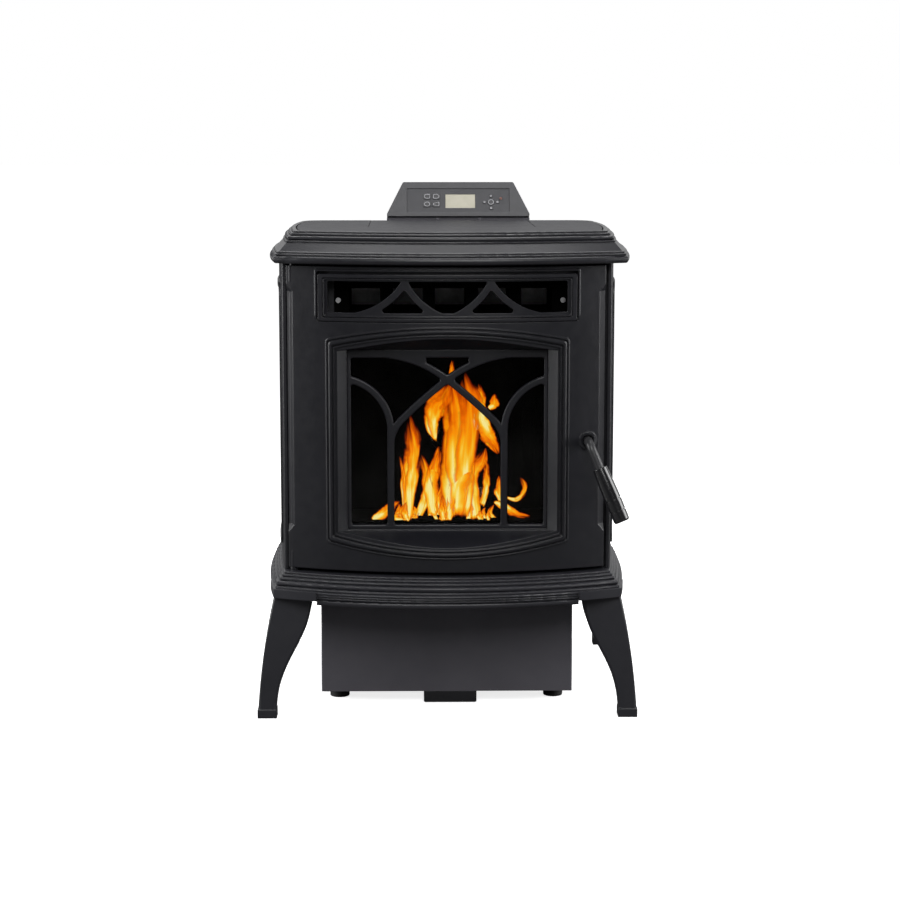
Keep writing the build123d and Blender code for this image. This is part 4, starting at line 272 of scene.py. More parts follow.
@dataclass(frozen=True)
class DullSteel:
    """Heat-darkened steel with ash and soot, made near black as painted shade of the firebox and
    ducts.
    """

    name: str
    soot: Colour
    steel: Colour

    def build(self) -> bpy.types.Material:
        """Material with soot patches, near black overall as painted shade.

        Returns:
            The material.
        """
        bench = NodeBench(self.name)
        patches = bench.noise(22.0, 5.0)
        return bench.surface(
            Base_Color=bench.ramp(patches, [(0.35, self.soot), (0.7, self.steel)]),
            Roughness=bench.spread(patches, 0.95, 0.8),
            Specular_IOR_Level=0.04,
            Normal=bench.relief(bench.noise(600.0), 0.00004),
        )


@dataclass(frozen=True)
class ZincSteel:
    """Zinc-coated steel with rolling streaks."""

    name: str
    dull: Colour
    bright: Colour
    soot_and_shade_from: float = -9.0
    soot_and_shade_fade: float = 0.03

    def build(self) -> bpy.types.Material:
        """Material with faint streaks, black in front of a given depth: soot, and painted shade
        inside the firebox.

        Returns:
            The material.
        """
        bench = NodeBench(self.name)
        stretch = bench.feed(
            bench.node("ShaderNodeMapping"), Vector=bench.place, Scale=(40, 900, 40)
        ).outputs["Vector"]
        streaks = bench.feed(
            bench.node("ShaderNodeTexNoise"), Vector=stretch, Scale=1.0, Detail=3.0
        ).outputs["Fac"]
        tint = bench.ramp(streaks, [(0.3, self.dull), (0.7, self.bright)])
        parts = bench.node("ShaderNodeSeparateXYZ")
        bench.link(bench.place, parts.inputs["Vector"])
        clean = bench.feed(
            bench.node("ShaderNodeMapRange"), Value=parts.outputs["Y"], From_Min=self.soot_and_shade_from
        )
        clean.inputs["From Max"].default_value = self.soot_and_shade_from + self.soot_and_shade_fade
        cover = bench.node("ShaderNodeMix", data_type="RGBA")
        bench.link(clean.outputs["Result"], cover.inputs[0])
        cover.inputs[6].default_value = SOOT_AND_PAINTED_SHADE
        bench.link(tint, cover.inputs[7])
        return bench.surface(
            Base_Color=cover.outputs[2],
            Metallic=1.0,
            Roughness=bench.spread(bench.noise(70.0), 0.28, 0.42),
            Normal=bench.relief(streaks, 0.00003),
        )


@dataclass(frozen=True)
class MouldedPlastic:
    """Moulded plastic or rubber with a fine grain."""

    name: str
    dark: Colour
    light: Colour
    smooth: float
    rough: float
    grain: float
    coat: float = 0.0
    edge: float = 0.0006

    def build(self) -> bpy.types.Material:
        """Material with a moulded grain.

        Returns:
            The material.
        """
        bench = NodeBench(self.name)
        cloud = bench.noise(60.0, 3.0)
        return bench.surface(
            Base_Color=bench.ramp(cloud, [(0.3, self.dark), (0.7, self.light)]),
            Roughness=bench.spread(cloud, self.smooth, self.rough),
            Normal=bench.relief(bench.noise(2200.0, 2.0), self.grain, self.edge),
            Coat_Weight=self.coat,
            Coat_Roughness=0.08,
        )


@dataclass(frozen=True)
class StoveGlass:
    """Clear ceramic glass with a faint haze of soot."""

    name: str = "ceramic_glass"

    def build(self) -> bpy.types.Material:
        """Mostly clear material with a thin reflection.

        Returns:
            The material.
        """
        bench = NodeBench(self.name)
        haze = bench.spread(bench.noise(14.0), 0.02, 0.08)
        glossy = bench.feed(bench.node("ShaderNodeBsdfGlossy"), Color=(1, 1, 1, 1), Roughness=haze)
        clear = bench.feed(bench.node("ShaderNodeBsdfTransparent"), Color=(0.93, 0.91, 0.88, 1))
        mix = bench.node("ShaderNodeMixShader")
        bench.link(bench.math("MULTIPLY", haze, 0.2), mix.inputs["Fac"])
        bench.link(clear.outputs["BSDF"], mix.inputs[1])
        bench.link(glossy.outputs["BSDF"], mix.inputs[2])
        bench.link(mix.outputs["Shader"], bench.output.inputs["Surface"])
        return bench.material


@dataclass(frozen=True)
class WovenRope:
    """Braided glass-fibre rope."""

    name: str = "woven_rope"

    def build(self) -> bpy.types.Material:
        """Grey material with a diagonal braid.

        Returns:
            The material.
        """
        bench = NodeBench(self.name)
        braid = bench.feed(
            bench.node("ShaderNodeTexWave", bands_direction="DIAGONAL"),
            Vector=bench.place,
            Scale=160.0,
            Distortion=1.5,
        ).outputs["Fac"]
        return bench.surface(
            Base_Color=bench.ramp(braid, [(0.2, (0.16, 0.15, 0.14)), (0.8, (0.42, 0.41, 0.38))]),
            Roughness=bench.spread(braid, 0.95, 0.85),
            Normal=bench.relief(braid, 0.0006),
        )


@dataclass(frozen=True)
class PelletWood:
    """Pressed wood pellets, or glowing ones."""

    name: str
    dark: Colour
    light: Colour
    glow: float = 0.0

    def build(self) -> bpy.types.Material:
        """Brown material, with a glow in its cracks where wanted.

        Returns:
            The material.
        """
        bench = NodeBench(self.name)
        fibre = bench.noise(420.0, 4.0, 0.7)
        tint = bench.ramp(fibre, [(0.3, self.dark), (0.7, self.light)])
        inputs: dict[str, object] = {
            "Base_Color": tint,
            "Roughness": bench.spread(fibre, 0.95, 0.75),
            "Normal": bench.relief(fibre, 0.0004),
        }
        if self.glow:
            inputs["Emission_Color"] = tint
            inputs["Emission_Strength"] = self.glow
        return bench.surface(**inputs)


@dataclass(frozen=True)
class FlameLight:
    """Glowing gas: yellow veins and cores, orange bodies, dark red at its rim."""

    name: str
    strength: float
    seed: float
    contrast: float = 1.5
    waver: float = 0.75
    vein_sharpness: float = 10.0
    vein_heat: float = 0.2
    foot_steepness: float = 14.0

    def build(self) -> bpy.types.Material:
        """Emission that fades out with a soft, ragged rim.

        Returns:
            The material.
        """
        bench = NodeBench(self.name)
        sheet = bench.node("ShaderNodeTexCoord").outputs["UV"]
        parts = bench.node("ShaderNodeSeparateXYZ")
        bench.link(sheet, parts.inputs["Vector"])
        along = parts.outputs["Y"]
        clouds, veins = (
            bench.feed(
                bench.node("ShaderNodeTexNoise"),
                Vector=bench.feed(
                    bench.node("ShaderNodeMapping"),
                    Vector=sheet,
                    Scale=scale,
                    Location=(self.seed + shift, self.seed * 2.3, 0),
                ).outputs["Vector"],
                Scale=1.0,
                Detail=1.5,
                Distortion=0.7,
            ).outputs["Fac"]
            for scale, shift in (((1.9, 2.4, 1), 0.0), ((2.6, 1.5, 1), 5.0))
        )
        waver = bench.feed(
            bench.node("ShaderNodeTexNoise"),
            Vector=bench.feed(
                bench.node("ShaderNodeMapping"),
                Vector=sheet,
                Scale=(1.2, 4.2, 1),
                Location=(self.seed, 9, 0),
            ).outputs["Vector"],
            Scale=1.0,
            Detail=3.0,
        ).outputs["Fac"]
        sway = bench.math("MULTIPLY", bench.math("SUBTRACT", waver, 0.5), self.waver)
        aside = bench.math("SUBTRACT", bench.math("ADD", parts.outputs["X"], sway), 0.5)
        across = bench.math("MULTIPLY", bench.math("ABSOLUTE", aside), 2.0)
        foot = bench.math("MINIMUM", bench.math("MULTIPLY", along, self.foot_steepness), 1.0)
        body = bench.math("SUBTRACT", 1.0, bench.math("POWER", across, 2.2))
        fade = bench.math("SUBTRACT", 1.0, bench.math("POWER", along, 3.0))
        heat = bench.math("MULTIPLY", bench.math("MULTIPLY", body, fade), foot)
        cloud = bench.math("MULTIPLY", bench.math("SUBTRACT", clouds, 0.5), self.contrast)
        heat = bench.math("ADD", heat, cloud)
        vein = bench.math("ABSOLUTE", bench.math("SUBTRACT", veins, 0.5))
        vein = bench.math("SUBTRACT", 1.0, bench.math("MULTIPLY", vein, self.vein_sharpness))
        vein = bench.math("MULTIPLY", bench.math("MAXIMUM", vein, 0.0), body)
        cool = bench.math("SUBTRACT", 1.02, bench.math("MULTIPLY", along, 0.5))
        tinted = bench.math("MULTIPLY", bench.math("SUBTRACT", heat, 0.03), cool)
        tinted = bench.math("ADD", tinted, bench.math("MULTIPLY", vein, self.vein_heat))
        tint = bench.ramp(
            tinted,
            [
                (0.02, (0.06, 0.001, 0.0)),
                (0.18, (0.38, 0.03, 0.0)),
                (0.34, (0.86, 0.14, 0.0)),
                (0.50, (1.0, 0.29, 0.001)),
                (0.70, (1.0, 0.47, 0.01)),
                (0.86, (1.0, 0.72, 0.09)),
                (1.0, (1.0, 0.90, 0.34)),
            ],
        )
        glow = bench.feed(
            bench.node("ShaderNodeEmission"), Color=tint, Strength=self.strength
        ).outputs["Emission"]
        clear = bench.node("ShaderNodeBsdfTransparent").outputs["BSDF"]
        cover = bench.node("ShaderNodeMapRange", clamp=True)
        bench.link(heat, cover.inputs["Value"])
        cover.inputs["From Min"].default_value = 0.1
        cover.inputs["From Max"].default_value = 0.55
        cover.inputs["To Max"].default_value = 0.96
        mix = bench.node("ShaderNodeMixShader")
        bench.link(cover.outputs["Result"], mix.inputs["Fac"])
        bench.link(clear, mix.inputs[1])
        bench.link(glow, mix.inputs[2])
        bench.link(mix.outputs["Shader"], bench.output.inputs["Surface"])
        return bench.material


def dress(node: bpy.types.Object, material: bpy.types.Material) -> None:
    """Give a carried-over CAD node its finish in every slot.

    Args:
        node: The node to dress.
        material: Its finish.
    """
    if not node.data.materials:
        node.data.materials.append(material)
    for slot in node.material_slots:
        slot.link = "OBJECT"
        slot.material = material


def make_piece(
    name: str, mesh: bmesh.types.BMesh, material: bpy.types.Material, body: str
) -> bpy.types.Object:
    """Turn a bmesh into a finished piece that rides on a body.

    Args:
        name: Name of the piece.
        mesh: The bmesh, which is freed.
        material: Its finish.
        body: CAD body that carries it.

    Returns:
        The new object.
    """
    data = bpy.data.meshes.new(name)
    mesh.to_mesh(data)
    mesh.free()
    data.materials.append(material)
    for polygon in data.polygons:
        polygon.use_smooth = True
    piece = bpy.data.objects.new(name, data)
    bpy.context.scene.collection.objects.link(piece)
    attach(piece, body)
    LOG.info("%s: %d faces on %s", name, len(data.polygons), body)
    return piece


def add_pellet(mesh: bmesh.types.BMesh, centre: Vector, turn: Matrix, length: float) -> None:
    """Add one pressed pellet with broken ends.

    Args:
        mesh: Mesh to add to.
        centre: Middle of the pellet.
        turn: Its rotation.
        length: Its length in metres.
    """
    made = bmesh.ops.create_cone(
        mesh,
        cap_ends=True,
        segments=8,
        radius1=PELLET_RADII[0],
        radius2=PELLET_RADII[1],
        depth=length,
    )
    bmesh.ops.rotate(mesh, verts=made["verts"], cent=(0, 0, 0), matrix=turn)
    bmesh.ops.translate(mesh, verts=made["verts"], vec=centre)


@dataclass
class CastBody:
    """Base, legs, side panels, frame, cornice and top plate."""

    nodes: dict[str, bpy.types.Object]
    paint: StovePaint = StovePaint(
        name="cast_stove_paint",
        dark=(0.0095, 0.0096, 0.0126),
        light=(0.0122, 0.0123, 0.0158),
        smooth=0.33,
        rough=0.4,
        face=Face.SANDY,
        edge=0.0024,
    )
    sheet: StovePaint = StovePaint(
        name="sheet_stove_paint",
        dark=(0.009, 0.009, 0.011),
        light=(0.012, 0.012, 0.0142),
        smooth=0.42,
        rough=0.5,
        face=Face.FINE,
        edge=0.001,
    )
    # Lighter grey paint for the pedestal box; on the panel bracket the lighter grey is painted
    # light, a painted reflection of the lid in the shade under the panel.
    box_sheet: StovePaint = StovePaint(
        name="box_grey_and_bracket_painted_light",
        dark=(0.078, 0.075, 0.087),
        light=(0.092, 0.089, 0.102),
        smooth=0.5,
        rough=0.58,
        face=Face.FINE,
        edge=0.001,
        shine=0.3,
    )
    cast_nodes: tuple[str, ...] = (
        "side_panel_left",
        "side_panel_right",
        "front_frame",
        "cornice",
    )
    lid: StovePaint = StovePaint(
        name="lid_stove_paint",
        dark=(0.0095, 0.0096, 0.0126),
        light=(0.0122, 0.0123, 0.0158),
        smooth=0.5,
        rough=0.58,
        face=Face.SANDY,
        edge=0.0024,
        shine=0.22,
    )
    # A lighter copy of the cast paint on the base and legs: painted light for the light their faces
    # catch.
    base: StovePaint = StovePaint(
        name="base_paint_painted_lighter",
        dark=(0.017, 0.017, 0.0215),
        light=(0.0215, 0.0215, 0.0265),
        smooth=0.35,
        rough=0.42,
        face=Face.SANDY,
        edge=0.0024,
    )
    lid_nodes: tuple[str, ...] = ("top_plate", "hopper_lid")
    base_nodes: tuple[str, ...] = ("base_casting", "legs")
    box_nodes: tuple[str, ...] = ("pedestal_box", "panel_bracket")
    sheet_nodes: tuple[str, ...] = (
        "terminal_box",
        "rear_panel",
        "flue_collar",
        "hopper",
        "air_intake",
    )

    def build(self) -> None:
        """Paint the castings and the sheet parts, and give the pads their rubber."""
        for paint, names in (
            (self.paint, self.cast_nodes),
            (self.lid, self.lid_nodes),
            (self.base, self.base_nodes),
            (self.sheet, self.sheet_nodes),
            (self.box_sheet, self.box_nodes),
        ):
            finish = paint.build()
            for name in names:
                dress(self.nodes[name], finish)
        rubber = MouldedPlastic(
            "pad_rubber", (0.012, 0.012, 0.012), (0.02, 0.02, 0.02), 0.6, 0.8, 0.0001
        )
        dress(self.nodes["pedestal_pads"], rubber.build())
        LOG.info("cast body dressed")


@dataclass
class FrontDoor:
    """Door casting, tracery, glass, grille, gaskets, pins, rod and grip."""

    nodes: dict[str, bpy.types.Object]
    # A darker copy of the cast paint on the door, its bars and grille: painted shade.
    paint: StovePaint = StovePaint(
        name="door_paint_painted_darker",
        dark=(0.0072, 0.0073, 0.01),
        light=(0.0096, 0.0097, 0.013),
        smooth=0.33,
        rough=0.4,
        face=Face.SANDY,
        edge=0.0024,
    )

    def build(self) -> None:
        """Dress the door's nodes."""
        cast = self.paint.build()
        for name in ("door_casting", "window_tracery", "upper_grille", "door_hinge_pins"):
            dress(self.nodes[name], cast)
        dress(self.nodes["door_glass"], StoveGlass().build())
        rod = MouldedPlastic(
            "rod_black", (0.02, 0.02, 0.022), (0.028, 0.028, 0.03), 0.34, 0.44, 0.00003
        )
        dress(self.nodes["handle_rod"], rod.build())
        grip = MouldedPlastic(
            "grip_gloss", (0.008, 0.008, 0.009), (0.012, 0.012, 0.013), 0.16, 0.24, 0.00001, 0.5
        )
        dress(self.nodes["handle_grip"], grip.build())
        LOG.info("front door dressed")


@dataclass
class RopeSeals:
    """The three woven seals: the door's rope, the tape under the glass and the lid's tape."""

    step: float = 0.0016
    around: int = 14
    braid_pitch: float = 0.007
    braid_depth: float = 0.09
    squareness: float = 0.62
    pull_in: float = 0.00002

    def ring(
        self,
        name: str,
        inner: tuple[float, float, float, float],
        outer: tuple[float, float, float, float],
        depths: tuple[float, float],
        level: bool,
        strands: int,
        body: str,
    ) -> None:
        """Weave one ring between two boxes and put it in place of its CAD node.

        Args:
            name: CAD node of the seal.
            inner: Left, right, low and high edge of its opening.
            outer: Left, right, low and high edge of its outside.
            depths: Its two faces.
            level: True for a ring that lies flat, False for one that stands in the door.
            strands: Diamonds of the braid around its section.
            body: CAD body that carries it.
        """
        corners = ((0, 2), (1, 2), (1, 3), (0, 3))
        inside = [Vector((inner[a], inner[b])) for a, b in corners]
        outside = [Vector((outer[a], outer[b])) for a, b in corners]
        mesh = bmesh.new()
        rings = []
        travelled = 0.0
        for side in range(4):
            in_start, in_end = inside[side], inside[(side + 1) % 4]
            out_start, out_end = outside[side], outside[(side + 1) % 4]
            length = ((in_end - in_start).length + (out_end - out_start).length) / 2
            count = max(8, round(length / self.step))
            for index in range(count):
                part = index / count
                near = in_start.lerp(in_end, part)
                far = out_start.lerp(out_end, part)
                travelled += length / count
                line = []
                for turn in range(self.around):
                    angle = 2 * math.pi * turn / self.around
                    bulge_u, bulge_w = (
                        math.copysign(abs(value) ** self.squareness, value)
                        for value in (math.cos(angle), math.sin(angle))
                    )
                    wave = 2 * math.pi * travelled / self.braid_pitch
                    plait = math.sin(strands * angle + wave) * math.sin(strands * angle - wave)
                    size = 1 - self.braid_depth * (0.5 + 0.5 * plait)
                    flat = near.lerp(far, 0.5 + 0.5 * bulge_u * size)
                    middle = (depths[0] + depths[1]) / 2
                    half = (depths[1] - depths[0]) / 2 - self.pull_in
                    depth = middle + half * bulge_w * size
                    spot = (flat.x, flat.y, depth) if level else (flat.x, depth, flat.y)
                    line.append(mesh.verts.new(spot))
                rings.append(line)
        for line, after in zip(rings, rings[1:] + rings[:1]):
            for turn in range(self.around):
                beside = (turn + 1) % self.around
                mesh.faces.new((line[turn], line[beside], after[beside], after[turn]))
        bmesh.ops.recalc_face_normals(mesh, faces=mesh.faces)
        piece = make_piece(f"{name}_weave", mesh, WovenRope().build(), body)
        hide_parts(name)

    def build(self) -> None:
        """Weave the three rings inside the boxes of their CAD nodes."""
        for name, rails, level, strands, body in (
            ("door_gasket", (0.0074, 0.0074, 0.0074, 0.0074), False, 3, "door"),
            ("glass_gasket", (0.0095, 0.0095, 0.0105, 0.0175), False, 5, "door"),
            ("hopper_gasket", (0.0084, 0.0084, 0.0084, 0.0084), True, 4, "stove"),
        ):
            low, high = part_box(name)
            if level:
                outer = (low.x, high.x, low.y, high.y)
                depths = (low.z, high.z)
            else:
                outer = (low.x, high.x, low.z, high.z)
                depths = (low.y, high.y)
            inner = (
                outer[0] + rails[0],
                outer[1] - rails[1],
                outer[2] + rails[2],
                outer[3] - rails[3],
            )
            self.ring(name, inner, outer, depths, level, strands, body)


@dataclass
class FireSide:
    """Firebox, pot, tubes, auger, ducts and drives."""

    nodes: dict[str, bpy.types.Object]
    dark_nodes: tuple[str, ...] = (
        "firebox",
        "firebox_floor",
        "firebox_liner",
        "burn_pot",
        "ash_pan",
        "exchanger_plate",
        "exchanger_tubes",
    )
    bright_nodes: tuple[str, ...] = (
        "exhaust_housing",
        "convection_housing",
        "exhaust_impeller",
        "convection_wheel",
        "fixings",
        "lid_hinge_pin",
        "glass_clips",
    )
    chute_nodes: tuple[str, ...] = ("auger_tube", "auger", "igniter")

    def build(self) -> None:
        """Dress the inner nodes."""
        # Near-black firebox and duct steel: soot, and painted shade of the dark firebox and ducts.
        dark = DullSteel("soot_and_painted_shade_steel", (0.0004, 0.0004, 0.0004), (0.0014, 0.0012, 0.0011)).build()
        for name in self.dark_nodes:
            dress(self.nodes[name], dark)
        bright = ZincSteel("zinc_steel", (0.55, 0.55, 0.56), (0.8, 0.8, 0.81)).build()
        for name in self.bright_nodes:
            dress(self.nodes[name], bright)
        # Auger tube, auger and igniter black inside the firebox: soot, and painted shade.
        chute = ZincSteel("soot_and_painted_shade_zinc", (0.42, 0.42, 0.43), (0.62, 0.62, 0.63), -0.03).build()
        for name in self.chute_nodes:
            dress(self.nodes[name], chute)
        enamel = MouldedPlastic(
            "motor_enamel", (0.05, 0.05, 0.055), (0.07, 0.07, 0.075), 0.35, 0.5, 0.0001
        )
        for name in ("auger_motor", "exhaust_motor", "convection_motor"):
            dress(self.nodes[name], enamel.build())
        LOG.info("fireside dressed")


@dataclass
class Fire:
    """Flame tongues over the burn pot, and glowing pellets in it.

    Each tongue is a path of (x, z, width) in millimetres from its foot to its tip, as it shows in
    the plane of the window bars; seat() carries it back to the depth of the fire.
    """

    middle_y: float = -0.165
    low_ys: tuple[float, float] = (-0.200, -0.135)
    bars_y: float = -0.240
    eye: Point = CAMERA_EYE
    seed: int = 11
    tongues: tuple[tuple[tuple[float, float, float], ...], ...] = (
        ((-67, 350, 10), (-67, 404, 22), (-62, 450, 27), (-60, 489, 26), (-66, 530, 6)),
        ((-73, 350, 7), (-76, 400, 9), (-77, 430, 7), (-81, 457, 3)),
        ((-52, 347, 11), (-36, 389, 18), (-38, 430, 16), (-45, 462, 4)),
        ((-24, 352, 14), (-27, 404, 24), (-20, 445, 18), (-14, 474, 4)),
        ((-21, 487, 4), (-29, 512, 22), (-21, 538, 38), (-6, 562, 30), (4, 588, 7)),
        (
            (12, 350, 26),
            (10, 400, 40),
            (14, 435, 54),
            (17, 495, 44),
            (14, 530, 40),
            (10, 562, 32),
            (6, 590, 7),
        ),
        (
            (26, 352, 20),
            (28, 400, 32),
            (30, 440, 34),
            (38, 500, 36),
            (38, 545, 40),
            (33, 575, 28),
            (28, 602, 7),
        ),
        ((10, 576, 8), (6, 595, 12), (9, 622, 4)),
        ((50, 500, 16), (53, 530, 24), (56, 555, 20), (53, 584, 5)),
        ((60, 552, 8), (58, 520, 22), (68, 495, 25), (80, 480, 16), (87, 461, 4)),
        ((71, 539, 6), (80, 548, 17), (79, 566, 4)),
        ((50, 347, 13), (44, 389, 22), (42, 430, 28), (58, 450, 20), (65, 471, 4)),
        ((59, 370, 8), (67, 404, 13), (67, 433, 11), (65, 452, 3)),
        ((92, 378, 8), (88, 398, 15), (90, 423, 4)),
        ((102, 385, 4), (117, 381, 7), (130, 392, 9), (132, 408, 9), (124, 421, 3)),
        ((80, 378, 5), (100, 367, 13), (118, 357, 12), (142, 351, 4)),
        ((-129, 345, 9), (-113, 356, 20), (-96, 369, 15), (-82, 381, 4)),
    )
    wide: float = 20.0
    foot_z: float = 345.0
    low_count: int = 26
    low_xs: tuple[float, float] = (-88, 84)
    low_rises: tuple[float, float] = (18, 66)
    low_leans: tuple[float, float] = (-14, 14)
    low_widths: tuple[float, float] = (7, 17)
    bed_count: int = 150
    bed_wall: float = 0.018
    rows: int = 26
    columns: int = 8

    def seat(self, x: float, z: float, y: float) -> Vector:
        """Carry a place in the plane of the window bars back along the line of sight.

        Args:
            x: Place across, in millimetres.
            z: Height, in millimetres.
            y: Depth in metres at which the place comes to rest.

        Returns:
            The place in metres.
        """
        reach = (y - self.eye[1]) / (self.bars_y - self.eye[1])
        return Vector(
            (
                self.eye[0] + (x / 1000 - self.eye[0]) * reach,
                y,
                self.eye[2] + (z / 1000 - self.eye[2]) * reach,
            )
        )

    def along_path(self, path: Path, along: float) -> tuple[float, ...]:
        """Smooth place and width on a path.

        Args:
            path: Places and widths from the foot to the tip.
            along: Fraction of the way along the path.

        Returns:
            Place across, height and width there, in millimetres.
        """
        spot = along * (len(path) - 1)
        index = min(int(spot), len(path) - 2)
        part = spot - index
        before, start, end, after = (
            path[max(0, min(len(path) - 1, index + shift))] for shift in (-1, 0, 1, 2)
        )
        return tuple(
            0.5
            * (
                2 * s
                + (e - b) * part
                + (2 * b - 5 * s + 4 * e - a) * part**2
                + (3 * s - b - 3 * e + a) * part**3
            )
            for b, s, e, a in zip(before, start, end, after)
        )

    def tongue(self, path: Path, y: float, chance: random.Random) -> bmesh.types.BMesh:
        """One wavering sheet of flame.

        Args:
            path: Its places and widths, in millimetres.
            y: Its depth.
            chance: Source of its waver.

        Returns:
            The sheet with its across and along coordinates.
        """
        mesh = bmesh.new()
        sheet = mesh.loops.layers.uv.new("UVMap")
        phase = chance.uniform(0, 6.3)
        grid = []
        for row in range(self.rows + 1):
            along = row / self.rows
            x, z, width = self.along_path(path, along)
            after_x, after_z, _ = self.along_path(path, min(1.0, along + 0.02))
            before_x, before_z, _ = self.along_path(path, max(0.0, along - 0.02))
            rise = Vector((after_x - before_x, after_z - before_z))
            rise = rise.normalized() if rise.length else Vector((0, 1))
            line = []
            for column in range(self.columns + 1):
                across = column / self.columns - 0.5
                depth = y + 0.006 * math.sin(4 * along + phase) - 0.02 * across * across
                line.append(
                    mesh.verts.new(
                        self.seat(x + across * width * rise.y, z - across * width * rise.x, depth)
                    )
                )
            grid.append(line)
        for row in range(self.rows):
            for column in range(self.columns):
                face = mesh.faces.new(
                    (
                        grid[row][column],
                        grid[row][column + 1],
                        grid[row + 1][column + 1],
                        grid[row + 1][column],
                    )
                )
                for loop, (right, up) in zip(face.loops, ((0, 0), (1, 0), (1, 1), (0, 1))):
                    loop[sheet].uv = ((column + right) / self.columns, (row + up) / self.rows)
        return mesh

    def light_up(self, name: str, mesh: bmesh.types.BMesh, glow: bpy.types.Material) -> None:
        """Turn a sheet into a flame that shows but doesn't light the castings around it.

        Args:
            name: Name of the flame.
            mesh: Its sheet.
            glow: Its finish.
        """
        flame = make_piece(name, mesh, glow, "stove")
        flame.visible_diffuse = False
        flame.visible_glossy = False

    def build(self) -> None:
        """Make the tall tongues, the low ones and the glowing bed."""
        chance = random.Random(self.seed)
        glows = [FlameLight(f"flame_{index}", 1.08, index * 3.7).build() for index in range(6)]
        for index, path in enumerate(self.tongues):
            for strand in range(2 if max(width for _, _, width in path) > self.wide else 1):
                shift = strand * chance.uniform(-0.16, 0.16)
                wavy = [
                    (
                        x + width * shift + strand * chance.uniform(-0.12, 0.12) * width,
                        z + strand * chance.uniform(-8, 2),
                        width * (1.15 - 0.22 * strand),
                    )
                    for x, z, width in path
                ]
                mesh = self.tongue(wavy, self.middle_y + chance.uniform(-0.02, 0.02), chance)
                glow = glows[(index + 2 * strand) % len(glows)]
                self.light_up(f"flame_tall_{index}_{strand}", mesh, glow)
        for index in range(self.low_count):
            x = chance.uniform(*self.low_xs)
            height = chance.uniform(*self.low_rises) * (1.1 - abs(x) / 130)
            lean = chance.uniform(*self.low_leans)
            width = chance.uniform(*self.low_widths)
            path = [
                (x, self.foot_z, width * 0.6),
                (x + lean, self.foot_z + height * 0.5, width),
                (x + lean * 0.4, self.foot_z + height, width * 0.25),
            ]
            mesh = self.tongue(path, chance.uniform(*self.low_ys), chance)
            self.light_up(f"flame_low_{index}", mesh, glows[index % len(glows)])
        low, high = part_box("burn_pot")
        bed = bmesh.new()
        for _ in range(self.bed_count):
            spot = Vector(
                (
                    chance.uniform(low.x + self.bed_wall, high.x - self.bed_wall),
                    chance.uniform(low.y + self.bed_wall, high.y - self.bed_wall),
                    chance.uniform(low.z + 0.012, high.z - 0.008),
                )
            )
            turn = Matrix.Rotation(chance.uniform(0, 3.1), 3, "Z") @ Matrix.Rotation(
                chance.uniform(1.0, 2.1), 3, "X"
            )
            add_pellet(bed, spot, turn, chance.uniform(0.008, 0.014))
        ember = PelletWood("ember", (0.02, 0.004, 0.002), (1.0, 0.26, 0.03), 1.4).build()
        make_piece("ember_bed", bed, ember, "stove")


@dataclass
class PelletStore:
    """Wood pellets heaped in the hopper."""

    count: int = 420
    seed: int = 3
    span_x: tuple[float, float] = (-0.070, 0.082)
    span_y: tuple[float, float] = (0.022, 0.152)
    top_z: float = 0.700

    def build(self) -> None:
        """Heap the pellets just under the hopper's rim."""
        chance = random.Random(self.seed)
        heap = bmesh.new()
        for _ in range(self.count):
            x = chance.uniform(*self.span_x)
            y = chance.uniform(*self.span_y)
            rise = 0.012 * math.sin(x * 40 + 1) * math.cos(y * 35)
            turn = Matrix.Rotation(chance.uniform(0, 6.2), 3, "Z") @ Matrix.Rotation(
                chance.uniform(1.2, 1.9), 3, "X"
            )
            add_pellet(
                heap,
                Vector((x, y, self.top_z + rise + chance.uniform(-0.006, 0.006))),
                turn,
                chance.uniform(0.012, 0.024),
            )
        wood = PelletWood("pellet_wood", (0.24, 0.14, 0.07), (0.46, 0.31, 0.17)).build()
        make_piece("pellet_heap", heap, wood, "stove")


class KeyShape(Enum):
    """Outline of a key: roundness of its left and right half, and the height of its left end."""

    SQUARE = (3.6, 3.6, 1.0)
    ROUND = (2.0, 2.0, 1.0)
    ROUND_LEFT = (2.0, 7.0, 1.0)
    ROUND_RIGHT = (7.0, 2.0, 1.0)
    WEDGE = (6.0, 6.0, 0.35)

    def point(self, angle: float) -> tuple[float, float]:
        """Find a place on the outline of a key of half width and half height 1.

        Args:
            angle: Direction of the place from the key's middle, in radians.

        Returns:
            The place across and up.
        """
        left, right, left_end = self.value
        across, up = math.cos(angle), math.sin(angle)
        power = right if across > 0 else left
        reach = (abs(across) ** power + abs(up) ** power) ** (-1 / power)
        across, up = across * reach, up * reach
        return across, up * (left_end + (1 - left_end) * (across + 1) / 2)


